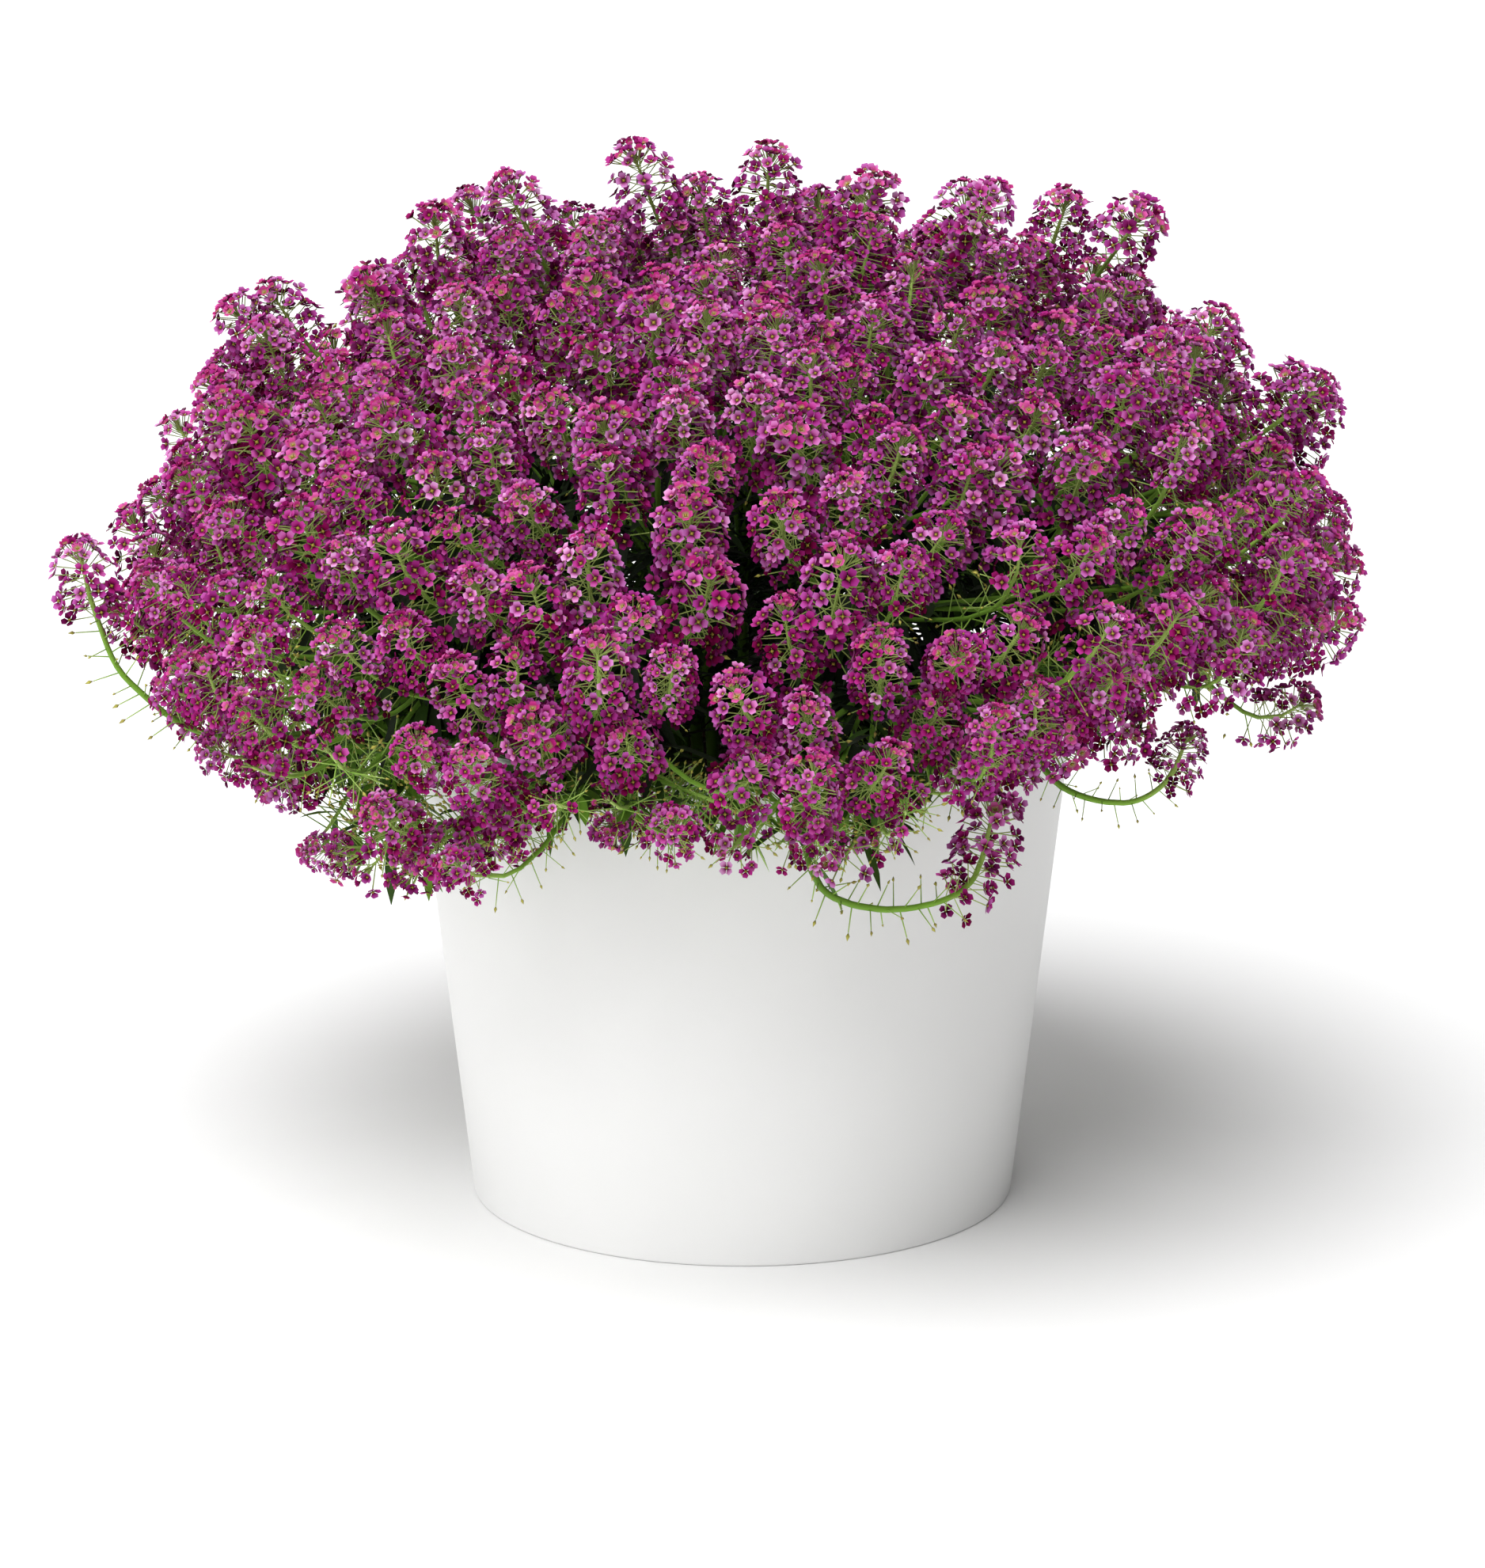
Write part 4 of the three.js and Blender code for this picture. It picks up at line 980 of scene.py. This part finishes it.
def add_stem(greens, path, thickness, sides, tints, places):
    """A ribbed stem along a path. Its thickness, tint and place run evenly from end to end."""
    thickness, tints, places = (np.linspace(*ends, len(path)) for ends in (thickness, tints, places))
    tubes(greens, path[None], thickness, sides, tints, places, 0.08)


for number, spray in enumerate(sprays):
    spray["heads"] = [head for head in spray["heads"] if stands_clear(head)]
    draw_spray = np.random.default_rng(5000 + number)
    greens, florets = Growth(), Growth()
    hole, turn = spray["hole"], spray["turn"]
    for head in spray["heads"]:
        x, y, z = head["middle"]
        zone = next(name for name, height in ZONES if z > height)
        if zone == "low" and abs(x - FRINGE_MIDDLE) < FRINGE_HALF_WIDTH and y < FRINGE_FRONT:
            zone = "fringe"
        shares = HEAD_KINDS[zone]
        kind = draw_spray.choice(list(RACEMES), p=[*shares, 1 - sum(shares)])
        head.setdefault("kind", kind)
        head["outward"] = unit(head["middle"] - [0, 0, MOUND_MIDDLE - 40])
        if head["kind"] == "comb" and zone == "middle":
            head["middle"] = head["middle"] + head["outward"] * COMB_PROUD * max(0.0, -head["outward"][1])
        half = head["axis"] * HEAD_LENGTH * head["size"] / 2
        head["tip"], head["base"] = head["middle"] + half, head["middle"] - half
    centre = np.mean([head["base"] for head in spray["heads"]], axis=0)
    bend = polar(spray["bend"][0], turn, spray["bend"][1])
    trunk = bezier([polar(hole, turn, MOUTH_HEIGHT), bend, centre], TRUNK_STEPS)
    trunk = trunk[: int(TRUNK_STEPS * TRUNK_SHARE)]
    trunk = np.concatenate([[polar(hole, turn, FOOT_HEIGHT)], trunk])
    # The trunk's tint and place darken it towards its foot, partly as painted shade inside the mound.
    add_stem(greens, trunk, (2.3, 1.3), 8, (0.3, 0.46), (0.1, 0.5))
    in_skirt = spray["name"].startswith("skirt")
    # Leaves inside the mound take the first tint, painted shade; those of the skirt take a leaf in the open.
    hue = SKIRT_LEAF_TINT if in_skirt else 0.0
    leaves = LEAVES_PER_TRUNK
    leaves_along(greens, "plain", trunk, draw_spray, leaves, 0.2, 1.0, (17, 27), (3.6, 5.4), hue=hue)
    leaves = LEAVES_PER_SKIRT_STEM if in_skirt else LEAVES_PER_STEM
    long = (9, 15) if in_skirt else (16, 26)
    for k, head in enumerate(spray["heads"]):
        place = int(round(draw_spray.uniform(0.45, 1.0) * (len(trunk) - 1)))
        place = min(place, len(trunk) - 2)
        way = unit(trunk[place + 1] - trunk[place])
        draw_head = np.random.default_rng(1000 * number + k)
        stem = side_stem(trunk[place], way, head, draw_head)
        thickness = draw_head.uniform(0.8, 1.12)
        x, _, z = head["middle"]
        cool = np.interp(z + 0.25 * x, [180, 360], [0.35, 0.7])
        # Higher heads are paler, partly as fresher heads and partly as painted light on the mound's top.
        pale = np.interp(z, [200, 280, 360], [0.0, 0.02, 0.1])
        add_raceme(
            greens, florets, stem, head["size"], draw_head, thickness, head["kind"],
            outward=head["outward"], coolness=cool, paleness=pale,
        )
        stem = bezier([trunk[place], trunk[place] + way * 30, head["base"]], 12)
        leaves_along(greens, "plain", stem, draw_spray, leaves, 0.0, 0.75, long, (3.4, 5.2), hue=hue)
    # Under the skirt hang old racemes that have shed all but a few florets.
    if in_skirt:
        tips = []
        for _ in range(SPENT_RACEMES):
            reach, shift = draw_spray.uniform(142, 180), draw_spray.uniform(-0.35, 0.35)
            tips.append(nudged(polar(reach, turn + shift, draw_spray.uniform(160, 196))))
        for mark in FRINGE_TIPS:
            if abs(math.remainder(math.atan2(mark[1], mark[0]) - turn, TURN)) < TURN / 18:
                tips.append(np.array(mark, float))
        for tip in tips:
            away = math.atan2(tip[1], tip[0]) + draw_spray.normal(0, 0.5)
            axis = unit(polar(0.9, away, draw_spray.uniform(-0.7, 0.1)))
            way = unit(trunk[-1] - trunk[-2])
            stem = bezier([trunk[-3], trunk[-1] + way * 22, tip - axis * 26, tip], 20)
            size = draw_spray.uniform(0.85, 1.1)
            add_raceme(greens, florets, stem, size, draw_spray, 0.9, "bare", spacing=0.8)
            leaves_along(greens, "fine", stem, draw_spray, 6, 0.4, 0.9, (11, 19), (2.8, 4.4), hue=0.28)
    greens.piece(spray["name"] + "_stems", green_growth, "leaves", spray["name"])
    florets.piece(spray["name"] + "_florets", alyssum_petal, "flowers", spray["name"])


# Trailing stems. The longest shoots arch out past the mound or hang over the pot's side and turn up at the
# tip. They have shed most florets, so bare pedicels with tiny pods stand off them all the way to the head.
TRAILING_HEAD = 30
# Radius and height of the marks from a stem's hole in the mix to just over the pot's rim.
TRAILING_START = [(109, FOOT_HEIGHT), (109, MOUTH_HEIGHT), (113, 187), (129, 199)]
# Trailing heads are made paler: painted light on heads that hang in the mound's shade.
TRAILING_PAINTED_LIGHT = 0.14


def smooth_route(marks, steps):
    """A smooth curve through the marks."""
    marks = np.asarray(marks, float)
    padded = np.vstack([2 * marks[0] - marks[1], marks, 2 * marks[-1] - marks[-2]])
    curve = []
    for i in range(1, len(padded) - 2):
        a, b, c, d = padded[i - 1:i + 3]
        t = np.linspace(0, 1, steps, endpoint=i == len(padded) - 3)[:, None]
        bend = 2 * a - 5 * b + 4 * c - d
        twist = 3 * b - a - 3 * c + d
        curve.append(0.5 * (2 * b + (c - a) * t + bend * t ** 2 + twist * t ** 3))
    return np.concatenate(curve)


for number, (name, (degrees, route, tip, kind)) in enumerate(TRAILING.items()):
    draw_trail = np.random.default_rng(7000 + number)
    greens, florets = Growth(), Growth()
    turn = math.radians(degrees)
    tip, last = np.array(tip, float), np.array(route[-1], float)
    marks = [polar(radius, turn, height) for radius, height in TRAILING_START] + route
    stem = smooth_route([*marks, tip - unit(tip - last) * HEAD_LIFT], 7)
    length = np.linalg.norm(np.diff(stem, axis=0), axis=1).sum()
    size = min(1.1, np.linalg.norm(tip - last) / TRAILING_HEAD)
    bare = max(6, int((length - RACEMES[kind][0] * size - 30) / SPENT_SPACING))
    pale = TRAILING_PAINTED_LIGHT
    add_raceme(greens, florets, stem, size, draw_trail, 1.2, kind, rings=44, spent=bare, paleness=pale)
    leaves_along(greens, "fine", stem, draw_trail, 8, 0.12, 0.5, (16, 30), (3, 4.6))
    node = f"trailing_{name}"
    greens.piece(node + "_stem", green_growth, "leaves", node)
    florets.piece(node + "_florets", alyssum_petal, "flowers", node)


# Leafy shoots. Green side shoots without flowers, between the skirt of the mound and the rim, with narrow
# leaves set by turns on two sides.
LEAFY_SHOOTS = 9
LEAFY_HOLE = 111
for i in range(LEAFY_SHOOTS):
    draw_shoot = np.random.default_rng(9000 + i)
    turn = FRONT + i * TURN / LEAFY_SHOOTS
    greens = Growth()
    shoot_tip = nudged(polar(160, turn, 184))
    path = bezier([polar(LEAFY_HOLE, turn, MOUTH_HEIGHT), polar(118, turn, 210), shoot_tip], 12)
    path = np.concatenate([[polar(LEAFY_HOLE, turn, FOOT_HEIGHT)], path])
    # Its place darkens the stem towards its foot, partly as painted shade under the mound.
    add_stem(greens, path, (1.9, 0.8), 6, (0.34, 0.5), (0.2, 0.6))
    leaves_along(greens, "fine", path, draw_shoot, 34, 0.3, 1.0, (13, 22), (3.4, 5.0), 1.1, 0.26)
    node = f"leafy_shoot_{i + 1:02d}"
    greens.piece(node + "_leaves", green_growth, "leaves", node)
